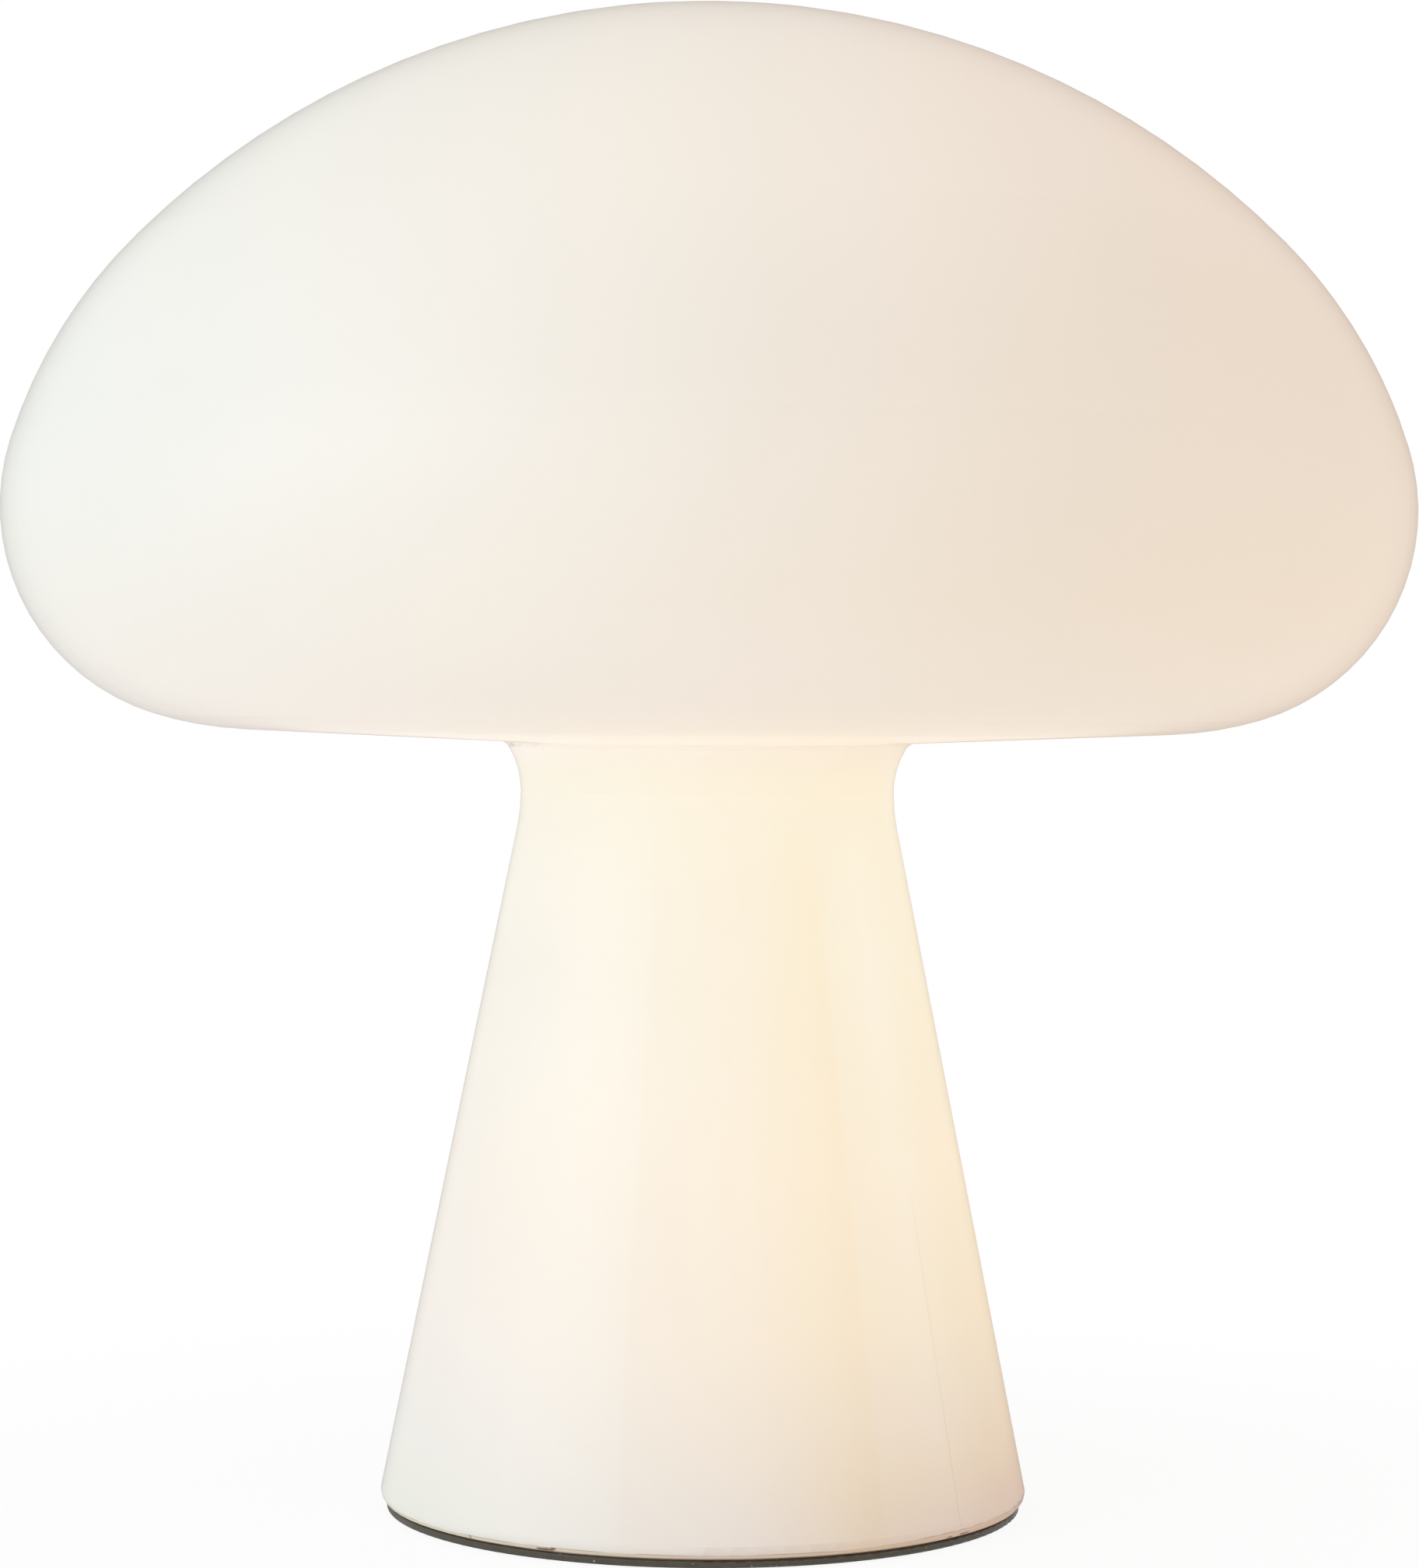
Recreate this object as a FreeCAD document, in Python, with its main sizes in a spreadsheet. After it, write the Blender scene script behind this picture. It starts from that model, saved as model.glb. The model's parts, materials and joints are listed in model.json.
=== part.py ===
"""Mushroom table lamp: a blown opal glass body that stands over a rechargeable light unit.

The frame is the lamp's own: +Z up, the origin at the middle of the surface it stands on,
the charging port towards +Y. All lengths are millimetres.
"""
import FreeCAD
import Part
import Sketcher
import math
import os

# Driving dimensions
SIZES = {
    # Glass body, outside
    "lamp_height": 250.0,
    "cap_radius": 116.9,
    "cap_widest_height": 166.4,
    "crown_radius": 133.8,
    "shoulder_radius": 82.4,
    "cap_edge_radius": 35.5,
    "under_edge_radius": 56.0,
    "underside_outer_height": 130.04,
    "underside_inner_height": 128.2,
    "corner_radius": 2.0,
    "flare_radius": 14.0,
    "neck_radius": 31.2,
    "neck_height": 120.0,
    "neck_blend_radius": 32.0,
    "foot_radius": 53.9,
    "foot_widest_height": 3.4,
    "foot_round": 2.2,
    # Glass body, wall and turned-in lip
    "glass_wall": 3.0,
    "glass_bottom": 1.9,
    "mouth_radius": 43.5,
    "lip_round": 1.0,
    "lip_root_round": 2.0,
    # Base plate
    "plate_radius": 52.9,
    "plate_bottom": 0.3,
    "plate_rim_top": 1.5,
    "plate_top": 5.0,
    "plate_edge_round": 0.3,
    "spigot_radius": 42.2,
    "spigot_chamfer": 0.6,
    "pad_inner_radius": 38.4,
    "pad_outer_radius": 41.6,
    "pad_thickness": 1.1,
    "pad_clearance": 0.1,
    # Gasket
    "gasket_outer_radius": 52.2,
    "gasket_sleeve": 1.0,
    "gasket_sleeve_top": 4.4,
    # Strap clamps that hold the glass down
    "clamp_screw_radius": 34.0,
    "clamp_heel": 30.6,
    "clamp_heel_end": 32.4,
    "clamp_toe_start": 44.6,
    "clamp_toe": 47.6,
    "clamp_underside": 7.0,
    "clamp_top": 9.8,
    "clamp_width": 8.0,
    "claw_pad_thickness": 1.0,
    "clamp_screw_shank": 2.0,
    "clamp_screw_length": 12.5,
    "clamp_head_radius": 3.7,
    "clamp_head_bottom": 0.6,
    "clamp_head_height": 2.3,
    # Light unit housing
    "housing_radius": 24.0,
    "housing_wall": 1.8,
    "housing_deck_bottom": 91.0,
    "housing_deck_top": 93.0,
    "collar_radius": 18.9,
    "collar_wall": 1.6,
    "collar_top": 96.0,
    "ear_pitch_radius": 27.2,
    "ear_radius": 3.8,
    "ear_top": 15.0,
    "housing_screw_shank": 1.45,
    "housing_screw_top": 13.0,
    "housing_head_radius": 2.9,
    "housing_head_height": 1.9,
    "screw_clearance": 0.1,
    # Shares of a screw head that its hexagon socket takes
    "socket_depth_share": 0.6,
    "socket_radius_share": 0.45,
    # Push button and its switch
    "button_bore": 6.0,
    "button_radius": 5.93,
    "button_face": 1.4,
    "button_edge_round": 0.5,
    "button_flange_radius": 7.6,
    "button_flange_bottom": 5.05,
    "button_flange_top": 6.25,
    "button_pip_radius": 2.0,
    "dish_radius": 9.0,
    "dish_depth": 1.2,
    "plunger_radius": 1.7,
    "plunger_bottom": 7.0,
    "plunger_length": 1.6,
    "switch_side": 6.0,
    "switch_bottom": 8.4,
    "switch_bore": 1.8,
    "switch_bore_depth": 1.8,
    "spring_radius": 5.2,
    "spring_wire": 0.35,
    "spring_turns": 3.5,
    "spring_gap": 0.05,
    # Charging port and indicator
    "port_offset": 14.5,
    "slot_reach": 2.9,
    "slot_radius": 4.0,
    "port_bottom": 5.3,
    "port_reach": 2.85,
    "port_radius": 1.85,
    "port_shell": 0.25,
    "port_back": 0.3,
    "port_tongue_width": 6.7,
    "port_tongue_thickness": 0.7,
    "port_tongue_setback": 1.2,
    "pipe_offset": 12.0,
    "pipe_radius": 1.5,
    "pipe_flange_radius": 2.6,
    "pipe_flange_height": 1.0,
    "pipe_bottom": 0.8,
    "pipe_top": 10.7,
    # Control board
    "board_radius": 20.4,
    "board_bottom": 12.0,
    "board_thickness": 1.6,
    "standoff_pitch_radius": 16.2,
    "standoff_radius": 2.6,
    "board_screw_shank": 1.2,
    "board_screw_bottom": 7.0,
    "indicator_length": 2.0,
    "indicator_width": 1.2,
    "indicator_height": 0.8,
    "board_head_radius": 2.2,
    "board_head_height": 1.4,
    "connector_depth": 3.6,
    "connector_width": 5.0,
    "connector_height": 3.6,
    # Battery cells
    "cell_radius": 9.2,
    "cell_length": 65.0,
    "cell_bottom": 21.3,
    "cell_pitch_radius": 11.6,
    "cell_nub_radius": 3.2,
    "cell_nub_height": 0.6,
    "spacer_radius": 21.9,
    "spacer_height": 8.0,
    "spacer_floor": 2.2,
    "spacer_bore": 9.3,
    "spacer_leg_radius": 1.8,
    "spacer_leg_pitch_radius": 15.5,
    "wire_passage_radius": 2.4,
    "wire_pitch_radius": 14.0,
    "lead_slot_width": 3.4,
    "tab_width": 6.0,
    "tab_thickness": 0.3,
    # Light boards
    "post_base_radius": 15.5,
    "post_base_thickness": 3.0,
    "post_side": 14.0,
    "post_top": 111.0,
    "post_bore": 3.0,
    "post_screw_pitch_radius": 12.4,
    "post_screw_shank": 1.2,
    "light_board_thickness": 1.2,
    "side_board_width": 11.0,
    "side_board_bottom": 96.3,
    "top_board_radius": 9.6,
    "chip_side": 3.0,
    "chip_height": 0.7,
    "chip_pitch": 4.0,
    "chip_margin": 0.7,
    # Diffuser over the light boards
    "dome_radius": 20.6,
    "dome_wall": 1.5,
    "dome_top": 119.0,
    "dome_corner": 12.0,
    # Wires
    "wire_radius": 0.55,
    "wire_spacing": 1.5,
    "wire_solder_reach": 1.5,
    "wire_bend": 2.0,
    "grommet_radius": 3.3,
    "grommet_groove": 2.6,
    "grommet_bore": 1.7,
    "grommet_flange": 0.8,
}

CLAMP_ANGLES = (30.0, 150.0, 270.0)
EAR_ANGLES = (0.0, 120.0, 240.0)
STANDOFF_ANGLES = (50.0, 130.0, 230.0, 310.0)
CELL_ANGLES = (90.0, 210.0, 330.0)
WIRE_ANGLES = (30.0, 150.0, 270.0)
POST_SCREW_ANGLES = (30.0, 270.0)
SIDE_BOARD_ANGLES = (60.0, 150.0, 240.0, 330.0)
POST_TURN = SIDE_BOARD_ANGLES[0]
SIDE_CHIP_ROWS = 3
LIGHT_LEAD_ANGLE = WIRE_ANGLES[1]
BATTERY_LEAD_ANGLE = WIRE_ANGLES[2]

# Rough turns of the outline's arcs, in degrees, where the sketch starts before it is solved
CROWN_TURN = -45.6
SHOULDER_TURN = -26.7
CAP_EDGE_TURN = -90.4
UNDER_EDGE_TURN = -14.0
UNDERSIDE_RUN = 32.6
CORNER_TURN = 55.0
FLARE_TURN = 31.5
NECK_BLEND_TURN = 11.3
STEM_RUN = 112.0
FOOT_TURN = -54.0
LIP_ROOT_TURN = -101.2

document = FreeCAD.newDocument("MushroomLamp")
sheet = document.addObject("Spreadsheet::Sheet", "Sizes")
for row, (size_name, size_value) in enumerate(SIZES.items(), start=1):
    sheet.set(f"A{row}", size_name)
    sheet.set(f"B{row}", str(size_value))
    sheet.setAlias(f"B{row}", size_name)
document.recompute()

sub_parts = []


class Size:
    """A length that knows its number and the spreadsheet expression that it comes from."""

    def __init__(self, value, text):
        self.value = value
        self.text = text

    def _join(self, other, sign, combine):
        other = as_size(other)
        return Size(combine(self.value, other.value), f"({self.text} {sign} {other.text})")

    def __add__(self, other):
        return self._join(other, "+", lambda a, b: a + b)

    def __sub__(self, other):
        return self._join(other, "-", lambda a, b: a - b)

    def __mul__(self, other):
        return self._join(other, "*", lambda a, b: a * b)

    def __truediv__(self, other):
        return self._join(other, "/", lambda a, b: a / b)


def as_size(number):
    """Wrap a plain number, so that it can be joined to sizes from the sheet."""
    if isinstance(number, Size):
        return number
    return Size(float(number), repr(float(number)))


def s(name):
    """The size of that name in the sheet."""
    return Size(SIZES[name], f"Sizes.{name}")


ZERO = as_size(0)


def bind(target, name, size):
    """Set a property from a size and keep it bound to the sheet."""
    target.setExpression(name, as_size(size).text)


def keep(part, label):
    """Name a finished sub-part and list it for export."""
    part.Label = label
    sub_parts.append(part)
    return part


# Sketch helpers
def new_body(label, several=False):
    body = document.addObject("PartDesign::Body", label)
    if several:
        body.AllowCompound = True
    return keep(body, label)


def origin_feature(body, role):
    return next(feature for feature in body.Origin.OriginFeatures if feature.Role == role)


def new_sketch(body, name, role="XY_Plane", height=ZERO):
    """A sketch on one of the body's own origin planes, lifted along the plane's normal."""
    sketch = body.newObject("Sketcher::SketchObject", name)
    sketch.AttachmentSupport = (origin_feature(body, role), "")
    sketch.MapMode = "FlatFace"
    if height.value:
        sketch.AttachmentOffset = FreeCAD.Placement(FreeCAD.Vector(0, 0, height.value),
                                                    FreeCAD.Rotation())
        bind(sketch, "AttachmentOffset.Base.z", height)
    return sketch


def dimension(sketch, kind, geometry, size):
    """Add one driving constraint and bind it to the sheet."""
    index = sketch.addConstraint(Sketcher.Constraint(kind, *geometry, size.value))
    bind(sketch, f"Constraints[{index}]", size)


def pin_point(sketch, geometry, point, x, y):
    """Hold a point at signed distances from the sketch's origin."""
    origin = (-1, 1)
    for kind, size in (("DistanceX", x), ("DistanceY", y)):
        if abs(size.value) < 1e-9:
            axis = -2 if kind == "DistanceX" else -1
            sketch.addConstraint(Sketcher.Constraint("PointOnObject", geometry, point, axis))
        elif size.value > 0:
            dimension(sketch, kind, (*origin, geometry, point), size)
        else:
            dimension(sketch, kind, (geometry, point, *origin), ZERO - size)


def polygon(sketch, corners):
    """Closed outline with straight sides, each corner held by two dimensions."""
    points = [FreeCAD.Vector(x.value, y.value, 0) for x, y in corners]
    count = len(points)
    lines = [sketch.addGeometry(Part.LineSegment(points[i], points[(i + 1) % count]), False)
             for i in range(count)]
    for i, line in enumerate(lines):
        sketch.addConstraint(Sketcher.Constraint("Coincident", line, 2, lines[(i + 1) % count], 1))
        pin_point(sketch, line, 1, *corners[i])
    return lines


def circle(sketch, x, y, radius):
    centre = FreeCAD.Vector(x.value, y.value, 0)
    index = sketch.addGeometry(Part.Circle(centre, FreeCAD.Vector(0, 0, 1), radius.value), False)
    pin_point(sketch, index, 3, x, y)
    dimension(sketch, "Radius", (index,), radius)
    return index


def polar_point(pitch, angle):
    """X and Y of a point at that distance from the upright axis and that angle in degrees."""
    turn = math.radians(angle)
    return pitch * math.cos(turn), pitch * math.sin(turn)


def rounded_slot(sketch, y, reach, radius):
    """A slot along X with round ends, centred on x = 0."""
    normal = FreeCAD.Vector(0, 0, 1)
    right = Part.Circle(FreeCAD.Vector(reach.value, y.value, 0), normal, radius.value)
    left = Part.Circle(FreeCAD.Vector(-reach.value, y.value, 0), normal, radius.value)
    quarter = math.pi / 2
    ends = [sketch.addGeometry(Part.ArcOfCircle(right, -quarter, quarter), False),
            sketch.addGeometry(Part.ArcOfCircle(left, quarter, 3 * quarter), False)]
    for x_sign, end in zip((1, -1), ends):
        pin_point(sketch, end, 3, reach * x_sign, y)
    top = FreeCAD.Vector(0, (y + radius).value, 0)
    low = FreeCAD.Vector(0, (y - radius).value, 0)
    across = FreeCAD.Vector(reach.value, 0, 0)
    upper = sketch.addGeometry(Part.LineSegment(top + across, top - across), False)
    lower = sketch.addGeometry(Part.LineSegment(low - across, low + across), False)
    chain = (ends[0], upper, ends[1], lower)
    for i, piece in enumerate(chain):
        sketch.addConstraint(Sketcher.Constraint("Tangent", piece, 2, chain[(i + 1) % 4], 1))
    dimension(sketch, "Radius", (ends[0],), radius)


# Feature helpers
def revolve(body, sketch, cut=False):
    """Turn a sketch a full circle about the sketch's upright axis."""
    kind = "PartDesign::Groove" if cut else "PartDesign::Revolution"
    feature = body.newObject(kind, "Turn")
    feature.Profile = sketch
    feature.ReferenceAxis = (sketch, ["V_Axis"])
    feature.Angle = 360.0
    body.Tip = feature
    return feature


def extrude(body, sketch, length, cut=False, down=False, both=False):
    """Pad or pocket a sketch along its own normal, or against it."""
    document.recompute()
    feature = body.newObject("PartDesign::Pocket" if cut else "PartDesign::Pad", "Run")
    feature.Profile = sketch
    feature.Length = length.value
    bind(feature, "Length", length)
    feature.Midplane = both
    feature.Reversed = down != cut
    body.Tip = feature
    return feature


def repeat(body, features, count):
    """Repeat features evenly round the upright axis."""
    document.recompute()
    pattern = body.newObject("PartDesign::PolarPattern", "Ring")
    pattern.Originals = features
    pattern.Axis = (origin_feature(body, "Z_Axis"), [""])
    pattern.Angle = 360.0
    pattern.Occurrences = count
    body.Tip = pattern
    return pattern


def turned_body(label, corners):
    """A body turned from a straight-sided half section, given as radius and height."""
    body = new_body(label)
    sketch = new_sketch(body, label + "_section", "XZ_Plane")
    polygon(sketch, corners)
    revolve(body, sketch)
    return body


def circle_edges(shape, radius, height):
    """Names of a shape's circular edges with that radius at that height."""
    names = []
    for number, edge in enumerate(shape.Edges, start=1):
        curve = edge.Curve
        if not isinstance(curve, Part.Circle):
            continue
        if abs(curve.Radius - radius.value) < 1e-3 and abs(curve.Center.z - height.value) < 1e-3:
            names.append(f"Edge{number}")
    return names


def dress(body, kind, size, *circles):
    """Fillet or chamfer the named circular edges of the body's last feature."""
    document.recompute()
    base = body.Tip
    names = [name for radius, height in circles
             for name in circle_edges(base.Shape, radius, height)]
    feature = body.newObject(f"PartDesign::{kind}", kind)
    feature.Base = (base, names)
    bind(feature, "Radius" if kind == "Fillet" else "Size", size)
    body.Tip = feature
    return feature


def turned_placement(angle, x=0.0, y=0.0, z=0.0):
    """A place at x, y, z that is then turned about the upright axis."""
    turn = FreeCAD.Rotation(FreeCAD.Vector(0, 0, 1), angle)
    return FreeCAD.Placement(turn.multVec(FreeCAD.Vector(x, y, z)), turn)


def cylinder(name, radius, bottom, height, x=ZERO, y=ZERO, angle=0.0):
    piece = document.addObject("Part::Cylinder", name)
    bind(piece, "Radius", radius)
    bind(piece, "Height", height)
    piece.Placement = turned_placement(angle, x.value, y.value, bottom.value)
    return piece


def block(name, length, width, height, x, y, z, angle=0.0):
    """A box whose lower face is centred on x, y, z, turned about the upright axis."""
    piece = document.addObject("Part::Box", name)
    for property_name, size in (("Length", length), ("Width", width), ("Height", height)):
        bind(piece, property_name, size)
    piece.Placement = turned_placement(angle, (x - length / 2).value, (y - width / 2).value, z.value)
    return piece


def fuse(name, pieces):
    joined = document.addObject("Part::MultiFuse", name)
    joined.Shapes = pieces
    return joined


def cut(name, base, tool):
    result = document.addObject("Part::Cut", name)
    result.Base = base
    result.Tool = tool
    return result


def group(label, pieces):
    """Several separate solids that share one node."""
    compound = document.addObject("Part::Compound", label)
    compound.Links = pieces
    return keep(compound, label)


# Glass body
class Path:
    """A run of tangent arcs and lines in a sketch, walked from a start point."""

    def __init__(self, sketch, x, y):
        self.sketch = sketch
        self.place = FreeCAD.Vector(x, y, 0)
        self.heading = 0.0
        self.last = None
        self.first = None

    def _add(self, geometry, entry, leave, smooth):
        index = self.sketch.addGeometry(geometry, False)
        if self.last:
            kind = "Tangent" if smooth else "Coincident"
            self.sketch.addConstraint(Sketcher.Constraint(kind, *self.last, index, entry))
        else:
            self.first = (index, entry)
        self.last = (index, leave)
        return index

    def arc(self, radius, turn, smooth=True):
        """Add an arc that turns left for a positive turn in degrees, else right."""
        side = math.copysign(1.0, turn)
        centre = self.place + FreeCAD.Vector(-math.sin(self.heading), math.cos(self.heading), 0) \
            * (side * radius)
        start = self.heading - side * math.pi / 2
        end = start + math.radians(turn)
        ring = Part.Circle(centre, FreeCAD.Vector(0, 0, 1), radius)
        low, high = (start, end) if turn > 0 else (end, start)
        entry, leave = (1, 2) if turn > 0 else (2, 1)
        index = self._add(Part.ArcOfCircle(ring, low, high), entry, leave, smooth)
        self.place = centre + FreeCAD.Vector(math.cos(end), math.sin(end), 0) * radius
        self.heading += math.radians(turn)
        return index

    def line(self, length, smooth=True):
        """Add a straight run on the present heading."""
        step = FreeCAD.Vector(math.cos(self.heading), math.sin(self.heading), 0) * length
        index = self._add(Part.LineSegment(self.place, self.place + step), 1, 2, smooth)
        self.place = self.place + step
        return index


def glass_skin(sketch, inset):
    """Walk one skin of the glass from the apex to the foot, inset from the outside."""
    path = Path(sketch, 0.0, SIZES["lamp_height"] - inset)
    skin = {
        "crown": path.arc(SIZES["crown_radius"] - inset, CROWN_TURN),
        "shoulder": path.arc(SIZES["shoulder_radius"] - inset, SHOULDER_TURN),
        "cap_edge": path.arc(SIZES["cap_edge_radius"] - inset, CAP_EDGE_TURN),
        "under_edge": path.arc(SIZES["under_edge_radius"] - inset, UNDER_EDGE_TURN),
        "underside": path.line(UNDERSIDE_RUN),
        "corner": path.arc(SIZES["corner_radius"] + inset, CORNER_TURN),
        "flare": path.arc(SIZES["flare_radius"] + inset, FLARE_TURN),
        "neck_blend": path.arc(SIZES["neck_blend_radius"] + inset, NECK_BLEND_TURN),
        "stem": path.line(STEM_RUN - inset),
    }
    return path, skin


def make_glass_body():
    """Blown in one piece: domed cap, tight neck, flared stem and a lip turned in at the foot."""
    body = new_body("glass_body")
    sketch = new_sketch(body, "glass_section", "XZ_Plane")
    wall = SIZES["glass_wall"]
    outer_path, outer = glass_skin(sketch, 0.0)
    foot = outer_path.arc(SIZES["foot_round"], FOOT_TURN)
    inner_path, inner = glass_skin(sketch, wall)
    lip_root = inner_path.arc(SIZES["lip_root_round"], LIP_ROOT_TURN)
    lip_top = inner_path.line(inner_path.place.x - SIZES["mouth_radius"] - SIZES["lip_round"])
    lip_nose = inner_path.arc(SIZES["lip_round"], 90.0)
    lip_edge = inner_path.line(wall - SIZES["lip_round"])
    bottom = sketch.addGeometry(Part.LineSegment(outer_path.place, inner_path.place), False)
    axis = sketch.addGeometry(Part.LineSegment(FreeCAD.Vector(0, SIZES["lamp_height"] - wall, 0),
                                               FreeCAD.Vector(0, SIZES["lamp_height"], 0)), False)
    relate = sketch.addConstraint
    relate(Sketcher.Constraint("Coincident", foot, 1, bottom, 1))
    relate(Sketcher.Constraint("Coincident", lip_edge, 2, bottom, 2))
    relate(Sketcher.Constraint("Horizontal", bottom))
    relate(Sketcher.Constraint("Coincident", *inner_path.first, axis, 1))
    relate(Sketcher.Constraint("Coincident", *outer_path.first, axis, 2))

    # The outside follows the sheet
    pin_point(sketch, outer["crown"], 3, ZERO, s("lamp_height") - s("crown_radius"))
    relate(Sketcher.Constraint("PointOnObject", *outer_path.first, -2))
    for arc in ("crown", "shoulder", "cap_edge", "under_edge", "corner", "flare"):
        dimension(sketch, "Radius", (outer[arc],), s(f"{arc}_radius"))
    dimension(sketch, "Radius", (outer["neck_blend"],), s("neck_blend_radius"))
    pin_point(sketch, outer["cap_edge"], 3, s("cap_radius") - s("cap_edge_radius"),
              s("cap_widest_height"))
    dimension(sketch, "DistanceY", (-1, 1, outer["underside"], 1), s("underside_outer_height"))
    dimension(sketch, "DistanceY", (-1, 1, outer["underside"], 2), s("underside_inner_height"))
    pin_point(sketch, outer["flare"], 3, s("neck_radius") + s("flare_radius"), s("neck_height"))
    dimension(sketch, "DistanceY", (-1, 1, outer["flare"], 2), s("neck_height"))
    dimension(sketch, "Radius", (foot,), s("foot_round"))
    pin_point(sketch, foot, 3, s("foot_radius") - s("foot_round"), s("foot_widest_height"))
    dimension(sketch, "DistanceY", (-1, 1, bottom, 1), s("glass_bottom"))

    # The inside keeps the wall's thickness from the outside
    for arc in ("crown", "shoulder", "cap_edge", "under_edge", "corner", "flare", "neck_blend"):
        relate(Sketcher.Constraint("Coincident", inner[arc], 3, outer[arc], 3))
    relate(Sketcher.Constraint("PointOnObject", *inner_path.first, -2))
    dimension(sketch, "Radius", (inner["crown"],), s("crown_radius") - s("glass_wall"))
    dimension(sketch, "Radius", (inner["corner"],), s("corner_radius") + s("glass_wall"))
    relate(Sketcher.Constraint("Parallel", inner["stem"], outer["stem"]))

    # The lip at the foot, ground flat below
    dimension(sketch, "Radius", (lip_root,), s("lip_root_round"))
    dimension(sketch, "Radius", (lip_nose,), s("lip_round"))
    relate(Sketcher.Constraint("Horizontal", lip_top))
    relate(Sketcher.Constraint("Vertical", lip_edge))
    dimension(sketch, "DistanceY", (-1, 1, lip_top, 1), s("glass_bottom") + s("glass_wall"))
    dimension(sketch, "DistanceX", (-1, 1, lip_edge, 2), s("mouth_radius"))
    revolve(body, sketch)
    return body


# Base and what keeps the glass on it
def make_base_plate():
    """Cast plate: a thin rim under the glass, a spigot in its mouth, and the user's side below."""
    body = turned_body("base_plate", [
        (ZERO, s("plate_bottom")), (s("plate_radius"), s("plate_bottom")),
        (s("plate_radius"), s("plate_rim_top")), (s("spigot_radius"), s("plate_rim_top")),
        (s("spigot_radius"), s("plate_top")), (ZERO, s("plate_top"))])
    dress(body, "Fillet", s("plate_edge_round"), (s("plate_radius"), s("plate_bottom")),
          (s("plate_radius"), s("plate_rim_top")))
    dress(body, "Chamfer", s("spigot_chamfer"), (s("spigot_radius"), s("plate_top")))

    # A groove for the foot pad and a shallow dish round the button
    groove = new_sketch(body, "pad_groove", "XZ_Plane")
    groove_top = s("pad_thickness")
    polygon(groove, [(s("pad_inner_radius") - s("pad_clearance"), ZERO),
                     (s("pad_outer_radius") + s("pad_clearance"), ZERO),
                     (s("pad_outer_radius") + s("pad_clearance"), groove_top),
                     (s("pad_inner_radius") - s("pad_clearance"), groove_top)])
    revolve(body, groove, cut=True)
    dish = new_sketch(body, "button_dish", "XZ_Plane")
    polygon(dish, [(ZERO, ZERO), (s("dish_radius"), ZERO), (s("dish_radius"), s("plate_bottom")),
                   (s("dish_radius") - s("dish_depth"), s("plate_bottom") + s("dish_depth")),
                   (ZERO, s("plate_bottom") + s("dish_depth"))])
    revolve(body, dish, cut=True)

    # Through holes for the button, the charging plug and the light pipe
    holes = new_sketch(body, "through_holes")
    circle(holes, ZERO, ZERO, s("button_bore"))
    circle(holes, ZERO, ZERO - s("pipe_offset"), s("pipe_radius") + s("screw_clearance"))
    rounded_slot(holes, s("port_offset"), s("slot_reach"), s("slot_radius"))
    extrude(body, holes, s("plate_top") + s("plate_bottom"), cut=True)

    # Screws enter from below, their heads sunk in the plate
    for name, pitch, shank, head, seat, start in (
            ("clamp", s("clamp_screw_radius"), s("clamp_screw_shank"), s("clamp_head_radius"),
             s("clamp_head_bottom") + s("clamp_head_height"), CLAMP_ANGLES[0]),
            ("ear", s("ear_pitch_radius"), s("housing_screw_shank"), s("housing_head_radius"),
             s("clamp_head_bottom") + s("housing_head_height"), EAR_ANGLES[0])):
        x, y = polar_point(pitch, start)
        cuts = []
        for role, radius, depth in (("shank", shank, s("plate_top") + s("plate_bottom")),
                                    ("head", head, seat)):
            sketch = new_sketch(body, f"{name}_{role}_hole")
            circle(sketch, x, y, radius + s("screw_clearance"))
            cuts.append(extrude(body, sketch, depth, cut=True))
        repeat(body, cuts, len(CLAMP_ANGLES))
    return body


def make_foot_pad():
    return turned_body("foot_pad", [
        (s("pad_inner_radius"), ZERO), (s("pad_outer_radius"), ZERO),
        (s("pad_outer_radius"), s("pad_thickness")), (s("pad_inner_radius"), s("pad_thickness"))])


def make_glass_gasket():
    """Silicone ring with a flat leg under the glass and a sleeve between glass and spigot."""
    sleeve = s("spigot_radius") + s("gasket_sleeve")
    return turned_body("glass_gasket", [
        (s("spigot_radius"), s("plate_rim_top")), (s("gasket_outer_radius"), s("plate_rim_top")),
        (s("gasket_outer_radius"), s("glass_bottom")), (sleeve, s("glass_bottom")),
        (sleeve, s("gasket_sleeve_top")), (s("spigot_radius"), s("gasket_sleeve_top"))])


def make_clamp_claws():
    """Strap clamps: the heel rests on the plate and the toe reaches over the glass lip."""
    body = new_body("clamp_claws", several=True)
    lip_top = s("glass_bottom") + s("glass_wall")
    section = new_sketch(body, "claw_section", "XZ_Plane")
    polygon(section, [
        (s("clamp_heel"), s("plate_top")), (s("clamp_heel_end"), s("plate_top")),
        (s("clamp_heel_end"), s("clamp_underside")), (s("clamp_toe_start"), s("clamp_underside")),
        (s("clamp_toe_start"), lip_top + s("claw_pad_thickness")),
        (s("clamp_toe"), lip_top + s("claw_pad_thickness")), (s("clamp_toe"), s("clamp_underside")),
        (s("clamp_toe_start"), s("clamp_top")), (s("clamp_heel"), s("clamp_top"))])
    arm = extrude(body, section, s("clamp_width"), both=True)
    hole = new_sketch(body, "claw_thread", height=s("plate_top"))
    circle(hole, s("clamp_screw_radius"), ZERO, s("clamp_screw_shank"))
    thread = extrude(body, hole, s("clamp_top"), cut=True)
    repeat(body, [arm, thread], len(CLAMP_ANGLES))
    body.Placement = turned_placement(CLAMP_ANGLES[0])
    return body


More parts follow.
